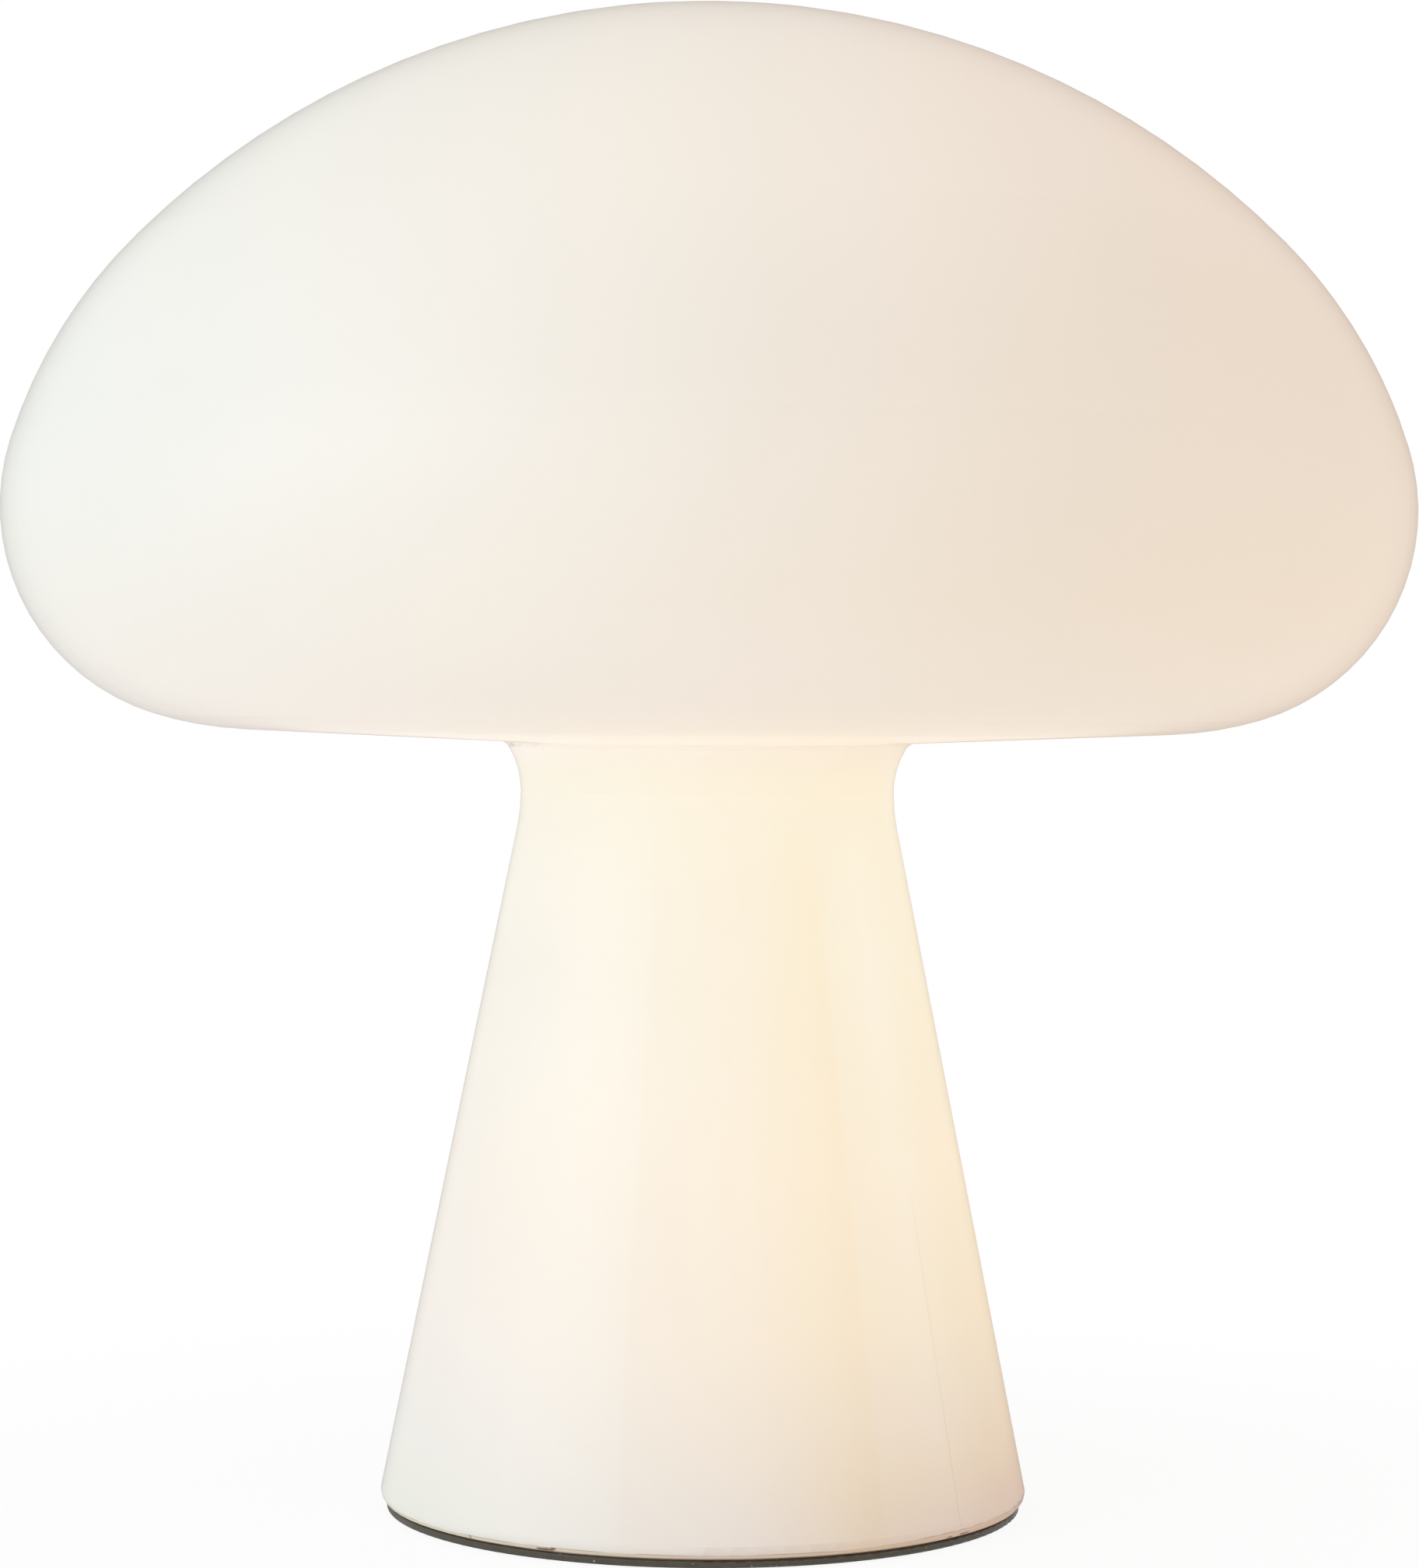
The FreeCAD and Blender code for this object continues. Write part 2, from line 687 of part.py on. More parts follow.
def make_claw_pads():
    """Soft tips between the claws and the glass."""
    reach = s("clamp_toe") - s("clamp_toe_start")
    middle = (s("clamp_toe") + s("clamp_toe_start")) / 2
    return group("claw_pads", [
        block(f"claw_pad_{number}", reach, s("clamp_width"), s("claw_pad_thickness"), middle, ZERO,
              s("glass_bottom") + s("glass_wall"), angle)
        for number, angle in enumerate(CLAMP_ANGLES, start=1)])


def make_screws(label, angles, pitch, shank, head, head_bottom, head_height, tip, heads_up=False):
    """A ring of screws with hexagon sockets in their heads."""
    screws = []
    socket_depth = head_height * s("socket_depth_share")
    shank_start = tip if heads_up else head_bottom
    shank_end = head_bottom if heads_up else tip
    for number, angle in enumerate(angles, start=1):
        name = f"{label}_{number}"
        parts = [cylinder(f"{name}_shank", shank, shank_start, shank_end - shank_start, pitch,
                          ZERO, angle),
                 cylinder(f"{name}_head", head, head_bottom, head_height, pitch, ZERO, angle)]
        socket = document.addObject("Part::Prism", f"{name}_socket")
        socket.Polygon = 6
        bind(socket, "Circumradius", head * s("socket_radius_share"))
        bind(socket, "Height", socket_depth)
        low = head_bottom + head_height - socket_depth if heads_up else head_bottom
        socket.Placement = turned_placement(angle, pitch.value, 0.0, low.value)
        screws.append(cut(name, fuse(f"{name}_blank", parts), socket))
    return group(label, screws)


# Light unit housing and electronics
def make_unit_housing():
    """White column: a tube closed by a deck, a collar for the diffuser and three screw ears."""
    body = turned_body("unit_housing", [
        (s("housing_radius") - s("housing_wall"), s("plate_top")),
        (s("housing_radius"), s("plate_top")), (s("housing_radius"), s("housing_deck_top")),
        (s("collar_radius"), s("housing_deck_top")), (s("collar_radius"), s("collar_top")),
        (s("collar_radius") - s("collar_wall"), s("collar_top")),
        (s("collar_radius") - s("collar_wall"), s("housing_deck_top")),
        (ZERO, s("housing_deck_top")), (ZERO, s("housing_deck_bottom")),
        (s("housing_radius") - s("housing_wall"), s("housing_deck_bottom"))])
    dress(body, "Fillet", s("housing_wall") / 2, (s("housing_radius"), s("housing_deck_top")))
    ear_sketch = new_sketch(body, "ear", height=s("plate_top"))
    circle(ear_sketch, s("ear_pitch_radius"), ZERO, s("ear_radius"))
    ear = extrude(body, ear_sketch, s("ear_top") - s("plate_top"))
    bore_sketch = new_sketch(body, "ear_bore")
    circle(bore_sketch, s("ear_pitch_radius"), ZERO, s("housing_screw_shank"))
    bore = extrude(body, bore_sketch, s("housing_screw_top"), cut=True)
    repeat(body, [ear, bore], len(EAR_ANGLES))

    deck_holes = new_sketch(body, "deck_holes", height=s("housing_deck_bottom"))
    circle(deck_holes, *polar_point(s("wire_pitch_radius"), LIGHT_LEAD_ANGLE),
           s("grommet_groove"))
    for angle in POST_SCREW_ANGLES:
        circle(deck_holes, *polar_point(s("post_screw_pitch_radius"), angle),
               s("post_screw_shank"))
    extrude(body, deck_holes, s("housing_deck_top") - s("housing_deck_bottom"), cut=True)
    return body


def make_light_pipe():
    """Clear pin that leads the indicator's light through the plate, with a flange to rest on."""
    offset = ZERO - s("pipe_offset")
    pieces = [cylinder("pipe_pin", s("pipe_radius"), s("pipe_bottom"),
                       s("pipe_top") - s("pipe_bottom"), ZERO, offset),
              cylinder("pipe_flange", s("pipe_flange_radius"), s("plate_top"),
                       s("pipe_flange_height"), ZERO, offset)]
    return keep(fuse("indicator_light_pipe", pieces), "indicator_light_pipe")


def make_control_board():
    body = new_body("control_board")
    disc = new_sketch(body, "board_disc", height=s("board_bottom"))
    circle(disc, ZERO, ZERO, s("board_radius"))
    extrude(body, disc, s("board_thickness"))
    holes = new_sketch(body, "board_holes", height=s("board_bottom"))
    for angle in STANDOFF_ANGLES:
        circle(holes, *polar_point(s("standoff_pitch_radius"), angle), s("board_screw_shank"))
    extrude(body, holes, s("board_thickness"), cut=True)
    return body


def make_board_standoffs():
    """Hexagonal brass posts between the plate and the control board."""
    posts = []
    for number, angle in enumerate(STANDOFF_ANGLES, start=1):
        blank = document.addObject("Part::Prism", f"standoff_{number}_blank")
        blank.Polygon = 6
        bind(blank, "Circumradius", s("standoff_radius"))
        bind(blank, "Height", s("board_bottom") - s("plate_top"))
        blank.Placement = turned_placement(angle, SIZES["standoff_pitch_radius"], 0.0,
                                           SIZES["plate_top"])
        bore = cylinder(f"standoff_{number}_bore", s("board_screw_shank"), s("plate_top"),
                        s("board_bottom") - s("plate_top"), s("standoff_pitch_radius"), ZERO, angle)
        posts.append(cut(f"standoff_{number}", blank, bore))
    return group("board_standoffs", posts)


# Components on the board: name, length, width, height, x, y
TOP_COMPONENTS = (
    ("driver_chip", 5.0, 5.0, 1.0, -1.0, -3.0),
    ("charger_chip", 4.0, 4.0, 1.0, 4.0, 7.0),
    ("coil", 6.0, 6.0, 3.0, 7.5, -3.5),
    ("large_capacitor", 3.2, 2.5, 2.2, -8.0, -2.5),
    ("small_capacitor", 2.0, 1.3, 1.2, -1.5, 8.5),
    ("sense_resistor", 3.2, 1.6, 0.6, 0.0, -10.0),
)


def make_board_components():
    board_top = s("board_bottom") + s("board_thickness")
    pieces = [block(name, *map(as_size, (length, width, height, x, y)), board_top)
              for name, length, width, height, x, y in TOP_COMPONENTS]
    pieces.append(block("indicator_led", s("indicator_length"), s("indicator_width"),
                        s("indicator_height"), ZERO, ZERO - s("pipe_offset"),
                        s("board_bottom") - s("indicator_height")))
    return group("board_components", pieces)


def make_wire_connectors():
    """Two-way sockets that the battery and light leads plug into."""
    board_top = s("board_bottom") + s("board_thickness")
    pieces = [block(f"{name}_connector", s("connector_depth"), s("connector_width"),
                    s("connector_height"), s("wire_pitch_radius"), ZERO, board_top, angle)
              for name, angle in (("light", LIGHT_LEAD_ANGLE), ("battery", BATTERY_LEAD_ANGLE))]
    return group("wire_connectors", pieces)


def make_charging_port():
    """Receptacle that looks down through the slot in the plate: a shell and a tongue."""
    body = new_body("charging_port")
    depth = s("board_bottom") - s("port_bottom")
    shell = new_sketch(body, "port_shell", height=s("port_bottom"))
    rounded_slot(shell, s("port_offset"), s("port_reach"), s("port_radius"))
    extrude(body, shell, depth)
    mouth = new_sketch(body, "port_mouth", height=s("port_bottom"))
    rounded_slot(mouth, s("port_offset"), s("port_reach"), s("port_radius") - s("port_shell"))
    extrude(body, mouth, depth - s("port_back"), cut=True)
    tongue = new_sketch(body, "port_tongue", height=s("board_bottom"))
    half = s("port_tongue_width") / 2
    thin = s("port_tongue_thickness") / 2
    polygon(tongue, [(ZERO - half, s("port_offset") - thin), (half, s("port_offset") - thin),
                     (half, s("port_offset") + thin), (ZERO - half, s("port_offset") + thin)])
    extrude(body, tongue, depth - s("port_tongue_setback"), down=True)
    return body


def make_push_switch():
    body = new_body("push_switch")
    case = new_sketch(body, "switch_case", height=s("switch_bottom"))
    half = s("switch_side") / 2
    polygon(case, [(ZERO - half, ZERO - half), (half, ZERO - half), (half, half),
                   (ZERO - half, half)])
    extrude(body, case, s("board_bottom") - s("switch_bottom"))
    bore = new_sketch(body, "switch_bore_circle", height=s("switch_bottom"))
    circle(bore, ZERO, ZERO, s("switch_bore"))
    extrude(body, bore, s("switch_bore_depth"), cut=True)
    return body


def make_push_button():
    """The button on the underside: round-edged head, and a flange that stops it falling out."""
    body = turned_body("push_button", [
        (ZERO, s("button_face")), (s("button_radius"), s("button_face")),
        (s("button_radius"), s("button_flange_bottom")),
        (s("button_flange_radius"), s("button_flange_bottom")),
        (s("button_flange_radius"), s("button_flange_top")),
        (s("button_pip_radius"), s("button_flange_top")),
        (s("button_pip_radius"), s("plunger_bottom")), (ZERO, s("plunger_bottom"))])
    dress(body, "Fillet", s("button_edge_round"), (s("button_radius"), s("button_face")))
    return body


def make_button_spring():
    """Return spring between the button's flange and the board, one unbroken wire."""
    wire = SIZES["spring_wire"]
    low = SIZES["button_flange_top"] + SIZES["spring_gap"] + wire
    rise = SIZES["board_bottom"] - wire - low
    helix = Part.makeHelix(rise / SIZES["spring_turns"], rise, SIZES["spring_radius"])
    start = FreeCAD.Vector(SIZES["spring_radius"], 0, 0)
    section = Part.Wire(Part.makeCircle(wire, start, FreeCAD.Vector(0, 1, 0)))
    coil = Part.Wire(helix.Edges).makePipeShell([section], True, False)
    spring = document.addObject("Part::Feature", "button_spring")
    spring.Shape = coil
    spring.Placement = FreeCAD.Placement(FreeCAD.Vector(0, 0, low), FreeCAD.Rotation())
    return keep(spring, "button_spring")


# Battery
def make_battery_cells():
    """Three round cells side by side, each with the raised end of its positive pole."""
    cells = []
    top = s("cell_bottom") + s("cell_length")
    for number, angle in enumerate(CELL_ANGLES, start=1):
        can = cylinder(f"cell_{number}_can", s("cell_radius"), s("cell_bottom"),
                       s("cell_length") - s("cell_nub_height"), s("cell_pitch_radius"), ZERO, angle)
        nub = cylinder(f"cell_{number}_pole", s("cell_nub_radius"), top - s("cell_nub_height"),
                       s("cell_nub_height"), s("cell_pitch_radius"), ZERO, angle)
        cells.append(fuse(f"cell_{number}", [can, nub]))
    return group("battery_cells", cells)


def make_cell_spacer(label, open_end, floor_end, seat):
    """A moulded disc with a socket for each cell, slots for the tabs and passages for wires.

    Short legs on its floor reach the board or the deck, so the cells stand between the two.
    """
    tools = []
    upward = floor_end.value < open_end.value
    low = floor_end if upward else open_end
    socket_low = floor_end + s("spacer_floor") if upward else open_end
    socket_height = s("spacer_height") - s("spacer_floor")
    tab_low = socket_low - s("tab_thickness") if upward else socket_low + socket_height
    for number, angle in enumerate(CELL_ANGLES, start=1):
        tools.append(cylinder(f"{label}_socket_{number}", s("spacer_bore"), socket_low,
                              socket_height, s("cell_pitch_radius"), ZERO, angle))
    for number, angle in enumerate(WIRE_ANGLES, start=1):
        tools.append(cylinder(f"{label}_passage_{number}", s("wire_passage_radius"), low,
                              s("spacer_height"), s("wire_pitch_radius"), ZERO, angle))
        tools.append(tab_bar(f"{label}_slot_{number}", angle, tab_low))
    floor_low = floor_end if upward else floor_end - s("spacer_floor")
    tools.append(block(f"{label}_lead_slot", s("wire_pitch_radius") - s("tab_width"),
                       s("lead_slot_width"), s("spacer_floor"),
                       (s("wire_pitch_radius") + s("tab_width")) / 2, ZERO, floor_low,
                       BATTERY_LEAD_ANGLE))
    disc = cylinder(f"{label}_disc", s("spacer_radius"), low, s("spacer_height"))
    pocketed = cut(f"{label}_pocketed", disc, fuse(f"{label}_tools", tools))
    leg_low, leg_high = (seat, floor_end) if upward else (floor_end, seat)
    legs = [cylinder(f"{label}_leg_{number}", s("spacer_leg_radius"), leg_low, leg_high - leg_low,
                     s("spacer_leg_pitch_radius"), ZERO, angle)
            for number, angle in enumerate(CELL_ANGLES, start=1)]
    return keep(fuse(label, [pocketed, *legs]), label)


def tab_bar(name, angle, bottom):
    """One straight strip from a cell's centre to its neighbour's."""
    chord = s("cell_pitch_radius") * math.sqrt(3)
    return block(name, s("tab_width"), chord + s("tab_width"), s("tab_thickness"),
                 s("cell_pitch_radius") / 2, ZERO, bottom, angle)


def make_cell_tabs():
    """Nickel strips that join the three cells, one triangle at each end."""
    ends = (("lower", s("cell_bottom") - s("tab_thickness")),
            ("upper", s("cell_bottom") + s("cell_length")))
    return group("cell_tabs", [
        fuse(f"{name}_tabs", [tab_bar(f"{name}_tab_{number}", angle, bottom)
                              for number, angle in enumerate(WIRE_ANGLES, start=1)])
        for name, bottom in ends])


# Light boards
def make_led_post():
    """Turned and milled aluminium: a round foot on the deck and a square post with a bore.

    It is drawn square to the axes and then turned, so its holes are placed against that turn.
    """
    body = new_body("led_post")
    foot = new_sketch(body, "post_foot", height=s("housing_deck_top"))
    circle(foot, ZERO, ZERO, s("post_base_radius"))
    extrude(body, foot, s("post_base_thickness"))
    square = new_sketch(body, "post_square", height=s("housing_deck_top"))
    half = s("post_side") / 2
    polygon(square, [(ZERO - half, ZERO - half), (half, ZERO - half), (half, half),
                     (ZERO - half, half)])
    extrude(body, square, s("post_top") - s("housing_deck_top"))
    holes = new_sketch(body, "post_holes", height=s("housing_deck_top"))
    circle(holes, ZERO, ZERO, s("post_bore"))
    circle(holes, *polar_point(s("wire_pitch_radius"), LIGHT_LEAD_ANGLE - POST_TURN),
           s("grommet_radius") + s("screw_clearance"))
    for angle in POST_SCREW_ANGLES:
        circle(holes, *polar_point(s("post_screw_pitch_radius"), angle - POST_TURN),
               s("post_screw_shank"))
    extrude(body, holes, s("post_top") - s("housing_deck_top"), cut=True)
    body.Placement = turned_placement(POST_TURN)
    return body


def make_light_boards():
    """Four boards round the post and one on top of it, and the light chips on them."""
    height = s("post_top") - s("side_board_bottom")
    side_face = s("post_side") / 2
    middle = side_face + s("light_board_thickness") / 2
    group("led_side_boards", [
        block(f"side_board_{number}", s("light_board_thickness"), s("side_board_width"), height,
              middle, ZERO, s("side_board_bottom"), angle)
        for number, angle in enumerate(SIDE_BOARD_ANGLES, start=1)])
    keep(cylinder("led_top_board", s("top_board_radius"), s("post_top"),
                  s("light_board_thickness")), "led_top_board")

    chips = []
    chip_face = side_face + s("light_board_thickness") + s("chip_height") / 2
    for board, angle in enumerate(SIDE_BOARD_ANGLES, start=1):
        for row in range(SIDE_CHIP_ROWS):
            bottom = s("post_top") - s("chip_margin") - s("chip_side") - s("chip_pitch") * row
            chips.append(block(f"side_chip_{board}_{row + 1}", s("chip_height"), s("chip_side"),
                               s("chip_side"), chip_face, ZERO, bottom, angle))
        chips.append(block(f"top_chip_{board}", s("chip_side"), s("chip_side"), s("chip_height"),
                           s("chip_pitch"), ZERO, s("post_top") + s("light_board_thickness"),
                           angle))
    group("led_chips", chips)


def make_diffuser_dome():
    """Frosted bell pushed onto the collar, so that single chips don't show on the glass."""
    body = new_body("diffuser_dome")
    sketch = new_sketch(body, "dome_section", "XZ_Plane")
    radius, top, corner = SIZES["dome_radius"], SIZES["dome_top"], SIZES["dome_corner"]
    relate = sketch.addConstraint
    paths = []
    for inset, wall in ((0.0, ZERO), (SIZES["dome_wall"], s("dome_wall"))):
        path = Path(sketch, 0.0, top - inset)
        crown = path.line(radius - corner)
        arc = path.arc(corner - inset, -90.0)
        side = path.line(top - corner - SIZES["housing_deck_top"])
        dimension(sketch, "Radius", (arc,), s("dome_corner") - wall)
        pin_point(sketch, arc, 3, s("dome_radius") - s("dome_corner"),
                  s("dome_top") - s("dome_corner"))
        relate(Sketcher.Constraint("PointOnObject", crown, 1, -2))
        dimension(sketch, "DistanceY", (-1, 1, side, 2), s("housing_deck_top"))
        paths.append(path)
    outer, inner = paths
    rim = sketch.addGeometry(Part.LineSegment(outer.place, inner.place), False)
    axis = sketch.addGeometry(Part.LineSegment(FreeCAD.Vector(0, top - SIZES["dome_wall"], 0),
                                               FreeCAD.Vector(0, top, 0)), False)
    for own, other in (((rim, 1), outer.last), ((rim, 2), inner.last), ((axis, 1), inner.first),
                       ((axis, 2), outer.first)):
        relate(Sketcher.Constraint("Coincident", *own, *other))
    revolve(body, sketch)
    return body


# Wires and small pieces
def wire_tube(name, points, bend):
    """A wire of straight runs joined by tangent arcs."""
    edges = []
    here = points[0]
    for before, corner, after in zip(points, points[1:], points[2:]):
        toward = (corner - before).normalize()
        onward = (after - corner).normalize()
        half_turn = toward.getAngle(onward) / 2
        setback = bend * math.tan(half_turn)
        start, end = corner - toward * setback, corner + onward * setback
        inward = (onward - toward).normalize()
        middle = corner + inward * (bend / math.cos(half_turn) - bend)
        edges += [Part.LineSegment(here, start).toShape(), Part.Arc(start, middle, end).toShape()]
        here = end
    edges.append(Part.LineSegment(here, points[-1]).toShape())
    spine = Part.Wire(edges)
    section = Part.Wire(Part.makeCircle(SIZES["wire_radius"], points[0], points[1] - points[0]))
    tube = document.addObject("Part::Feature", name)
    tube.Shape = spine.makePipeShell([section], True, False)
    return tube


def make_leads():
    """The pair of wires to the light boards and the pair from the cells to the board."""
    connector_top = SIZES["board_bottom"] + SIZES["board_thickness"] + SIZES["connector_height"]
    pitch, bend = SIZES["wire_pitch_radius"], SIZES["wire_bend"]
    board_face = SIZES["post_side"] / 2 + SIZES["light_board_thickness"]
    tab_face = (SIZES["cell_pitch_radius"] + SIZES["tab_width"]) / 2 - SIZES["wire_solder_reach"]
    upper_tab = SIZES["cell_bottom"] + SIZES["cell_length"] + SIZES["tab_thickness"]
    lower_tab = SIZES["cell_bottom"] - SIZES["tab_thickness"]
    pad_height = SIZES["side_board_bottom"] + SIZES["wire_spacing"]
    leads = {
        "led_lead": (LIGHT_LEAD_ANGLE, pitch, board_face, (pad_height, pad_height), bend),
        "battery_lead": (BATTERY_LEAD_ANGLE, pitch - bend / 2, tab_face,
                         (lower_tab - SIZES["wire_radius"], upper_tab + SIZES["wire_radius"]),
                         bend / 2),
    }
    for label, (angle, start, end, heights, radius) in leads.items():
        turn = turned_placement(angle)
        wires = []
        for side, height in zip((-1, 1), heights):
            across = side * SIZES["wire_spacing"] / 2
            route = [turn.multVec(FreeCAD.Vector(*point)) for point in (
                (start, across, connector_top), (start, across, height), (end, across, height))]
            wires.append(wire_tube(f"{label}_wire_{side + 2}", route, radius))
        group(label, wires)


def make_lead_grommet():
    """Rubber ring where the light lead passes through the deck."""
    body = turned_body("lead_grommet", [
        (s("grommet_bore"), s("housing_deck_bottom") - s("grommet_flange")),
        (s("grommet_radius"), s("housing_deck_bottom") - s("grommet_flange")),
        (s("grommet_radius"), s("housing_deck_bottom")),
        (s("grommet_groove"), s("housing_deck_bottom")),
        (s("grommet_groove"), s("housing_deck_top")), (s("grommet_radius"), s("housing_deck_top")),
        (s("grommet_radius"), s("housing_deck_top") + s("grommet_flange")),
        (s("grommet_bore"), s("housing_deck_top") + s("grommet_flange"))])
    body.Placement = turned_placement(LIGHT_LEAD_ANGLE, SIZES["wire_pitch_radius"])
    return body


make_glass_body()
make_glass_gasket()
make_base_plate()
make_foot_pad()
make_clamp_claws()
make_claw_pads()
make_screws("clamp_screws", CLAMP_ANGLES, s("clamp_screw_radius"), s("clamp_screw_shank"),
            s("clamp_head_radius"), s("clamp_head_bottom"), s("clamp_head_height"),
            s("clamp_screw_length"))
make_unit_housing()
make_screws("housing_screws", EAR_ANGLES, s("ear_pitch_radius"), s("housing_screw_shank"),
            s("housing_head_radius"), s("clamp_head_bottom"), s("housing_head_height"),
            s("housing_screw_top"))
make_push_button()
keep(cylinder("switch_plunger", s("plunger_radius"), s("plunger_bottom"), s("plunger_length")),
     "switch_plunger")
make_button_spring()
make_push_switch()
make_charging_port()
make_light_pipe()
make_control_board()
make_board_standoffs()
make_screws("board_screws", STANDOFF_ANGLES, s("standoff_pitch_radius"), s("board_screw_shank"),
            s("board_head_radius"), s("board_bottom") + s("board_thickness"),
            s("board_head_height"), s("board_screw_bottom"), heads_up=True)
make_board_components()
make_wire_connectors()
make_battery_cells()
make_cell_spacer("lower_cell_spacer", s("cell_bottom") + s("spacer_height") - s("spacer_floor"),
                 s("cell_bottom") - s("spacer_floor"), s("board_bottom") + s("board_thickness"))
make_cell_spacer("upper_cell_spacer",
                 s("cell_bottom") + s("cell_length") + s("spacer_floor") - s("spacer_height"),
                 s("cell_bottom") + s("cell_length") + s("spacer_floor"), s("housing_deck_bottom"))
make_cell_tabs()
make_led_post()
make_screws("post_screws", POST_SCREW_ANGLES, s("post_screw_pitch_radius"),
            s("post_screw_shank"), s("board_head_radius"),
            s("housing_deck_top") + s("post_base_thickness"), s("board_head_height"),
            s("housing_deck_bottom"), heads_up=True)
make_light_boards()
make_diffuser_dome()
make_leads()
make_lead_grommet()
document.recompute()

# Check every object and every sub-part before anything is written
for item in document.Objects:
    if "Invalid" in item.State or "Error" in item.State:
        raise RuntimeError(f"{item.Name} failed: {item.State}")
for part in sub_parts:
    if part.Shape.isNull() or not part.Shape.isValid():
        raise RuntimeError(f"{part.Label} has no valid shape")
os.makedirs("parts", exist_ok=True)
for part in sub_parts:
    part.Shape.exportStep(f"parts/{part.Label}.step")
    print(part.Label, len(part.Shape.Solids), round(part.Shape.Volume, 1))
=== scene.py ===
"""Finishes a mushroom table lamp over its built frame: opal glass, painted base and light unit.

Lengths are metres in the lamp's own frame: +Z up, the origin in the middle of the surface that
it stands on, the photographed front towards -Y. Colours are linear.
"""
import json
import logging
import math
from collections.abc import Iterable
from dataclasses import dataclass
from enum import Enum
from typing import ClassVar

import bpy
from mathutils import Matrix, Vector

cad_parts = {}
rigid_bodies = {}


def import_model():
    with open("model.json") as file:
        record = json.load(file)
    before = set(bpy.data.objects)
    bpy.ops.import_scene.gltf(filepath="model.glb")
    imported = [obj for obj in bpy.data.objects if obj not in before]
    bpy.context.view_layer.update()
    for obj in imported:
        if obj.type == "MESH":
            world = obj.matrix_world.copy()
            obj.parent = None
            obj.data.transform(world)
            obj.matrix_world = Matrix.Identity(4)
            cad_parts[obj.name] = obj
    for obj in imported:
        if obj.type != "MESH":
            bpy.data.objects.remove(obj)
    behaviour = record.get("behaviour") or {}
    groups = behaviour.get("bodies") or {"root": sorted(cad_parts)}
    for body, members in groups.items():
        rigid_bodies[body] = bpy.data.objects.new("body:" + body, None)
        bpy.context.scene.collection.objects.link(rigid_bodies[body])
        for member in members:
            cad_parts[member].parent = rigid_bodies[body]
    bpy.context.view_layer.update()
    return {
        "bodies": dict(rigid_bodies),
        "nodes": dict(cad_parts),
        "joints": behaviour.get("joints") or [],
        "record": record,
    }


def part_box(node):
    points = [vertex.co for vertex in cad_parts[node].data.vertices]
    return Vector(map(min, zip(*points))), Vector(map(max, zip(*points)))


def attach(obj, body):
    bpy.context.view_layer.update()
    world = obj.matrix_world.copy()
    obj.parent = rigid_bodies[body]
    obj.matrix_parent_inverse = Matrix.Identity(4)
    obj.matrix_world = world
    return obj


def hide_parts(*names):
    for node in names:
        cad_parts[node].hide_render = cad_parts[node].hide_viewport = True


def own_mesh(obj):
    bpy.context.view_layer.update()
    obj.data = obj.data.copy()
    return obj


LOG = logging.getLogger("mushroom_lamp")

SHARP_ANGLE = math.radians(35.0)

Colour = tuple[float, float, float]
Point = tuple[float, float, float]
Fed = bpy.types.NodeSocket | float | int | tuple

WHITE: Colour = (1.0, 1.0, 1.0)
BLACK: Colour = (0.0, 0.0, 0.0)


class Body(Enum):
    """The bodies that a piece can move with."""

    LAMP = "lamp"
    BUTTON = "button"


class Axis(Enum):
    """The way that drawn or brushed marks run, as a noise scale on x, y and z."""

    X = (1.0, 40.0, 40.0)
    Z = (40.0, 40.0, 1.0)


def rgba(colour: Colour) -> tuple[float, float, float, float]:
    """The colour with full alpha, as a colour socket takes it."""
    return (*colour, 1.0)


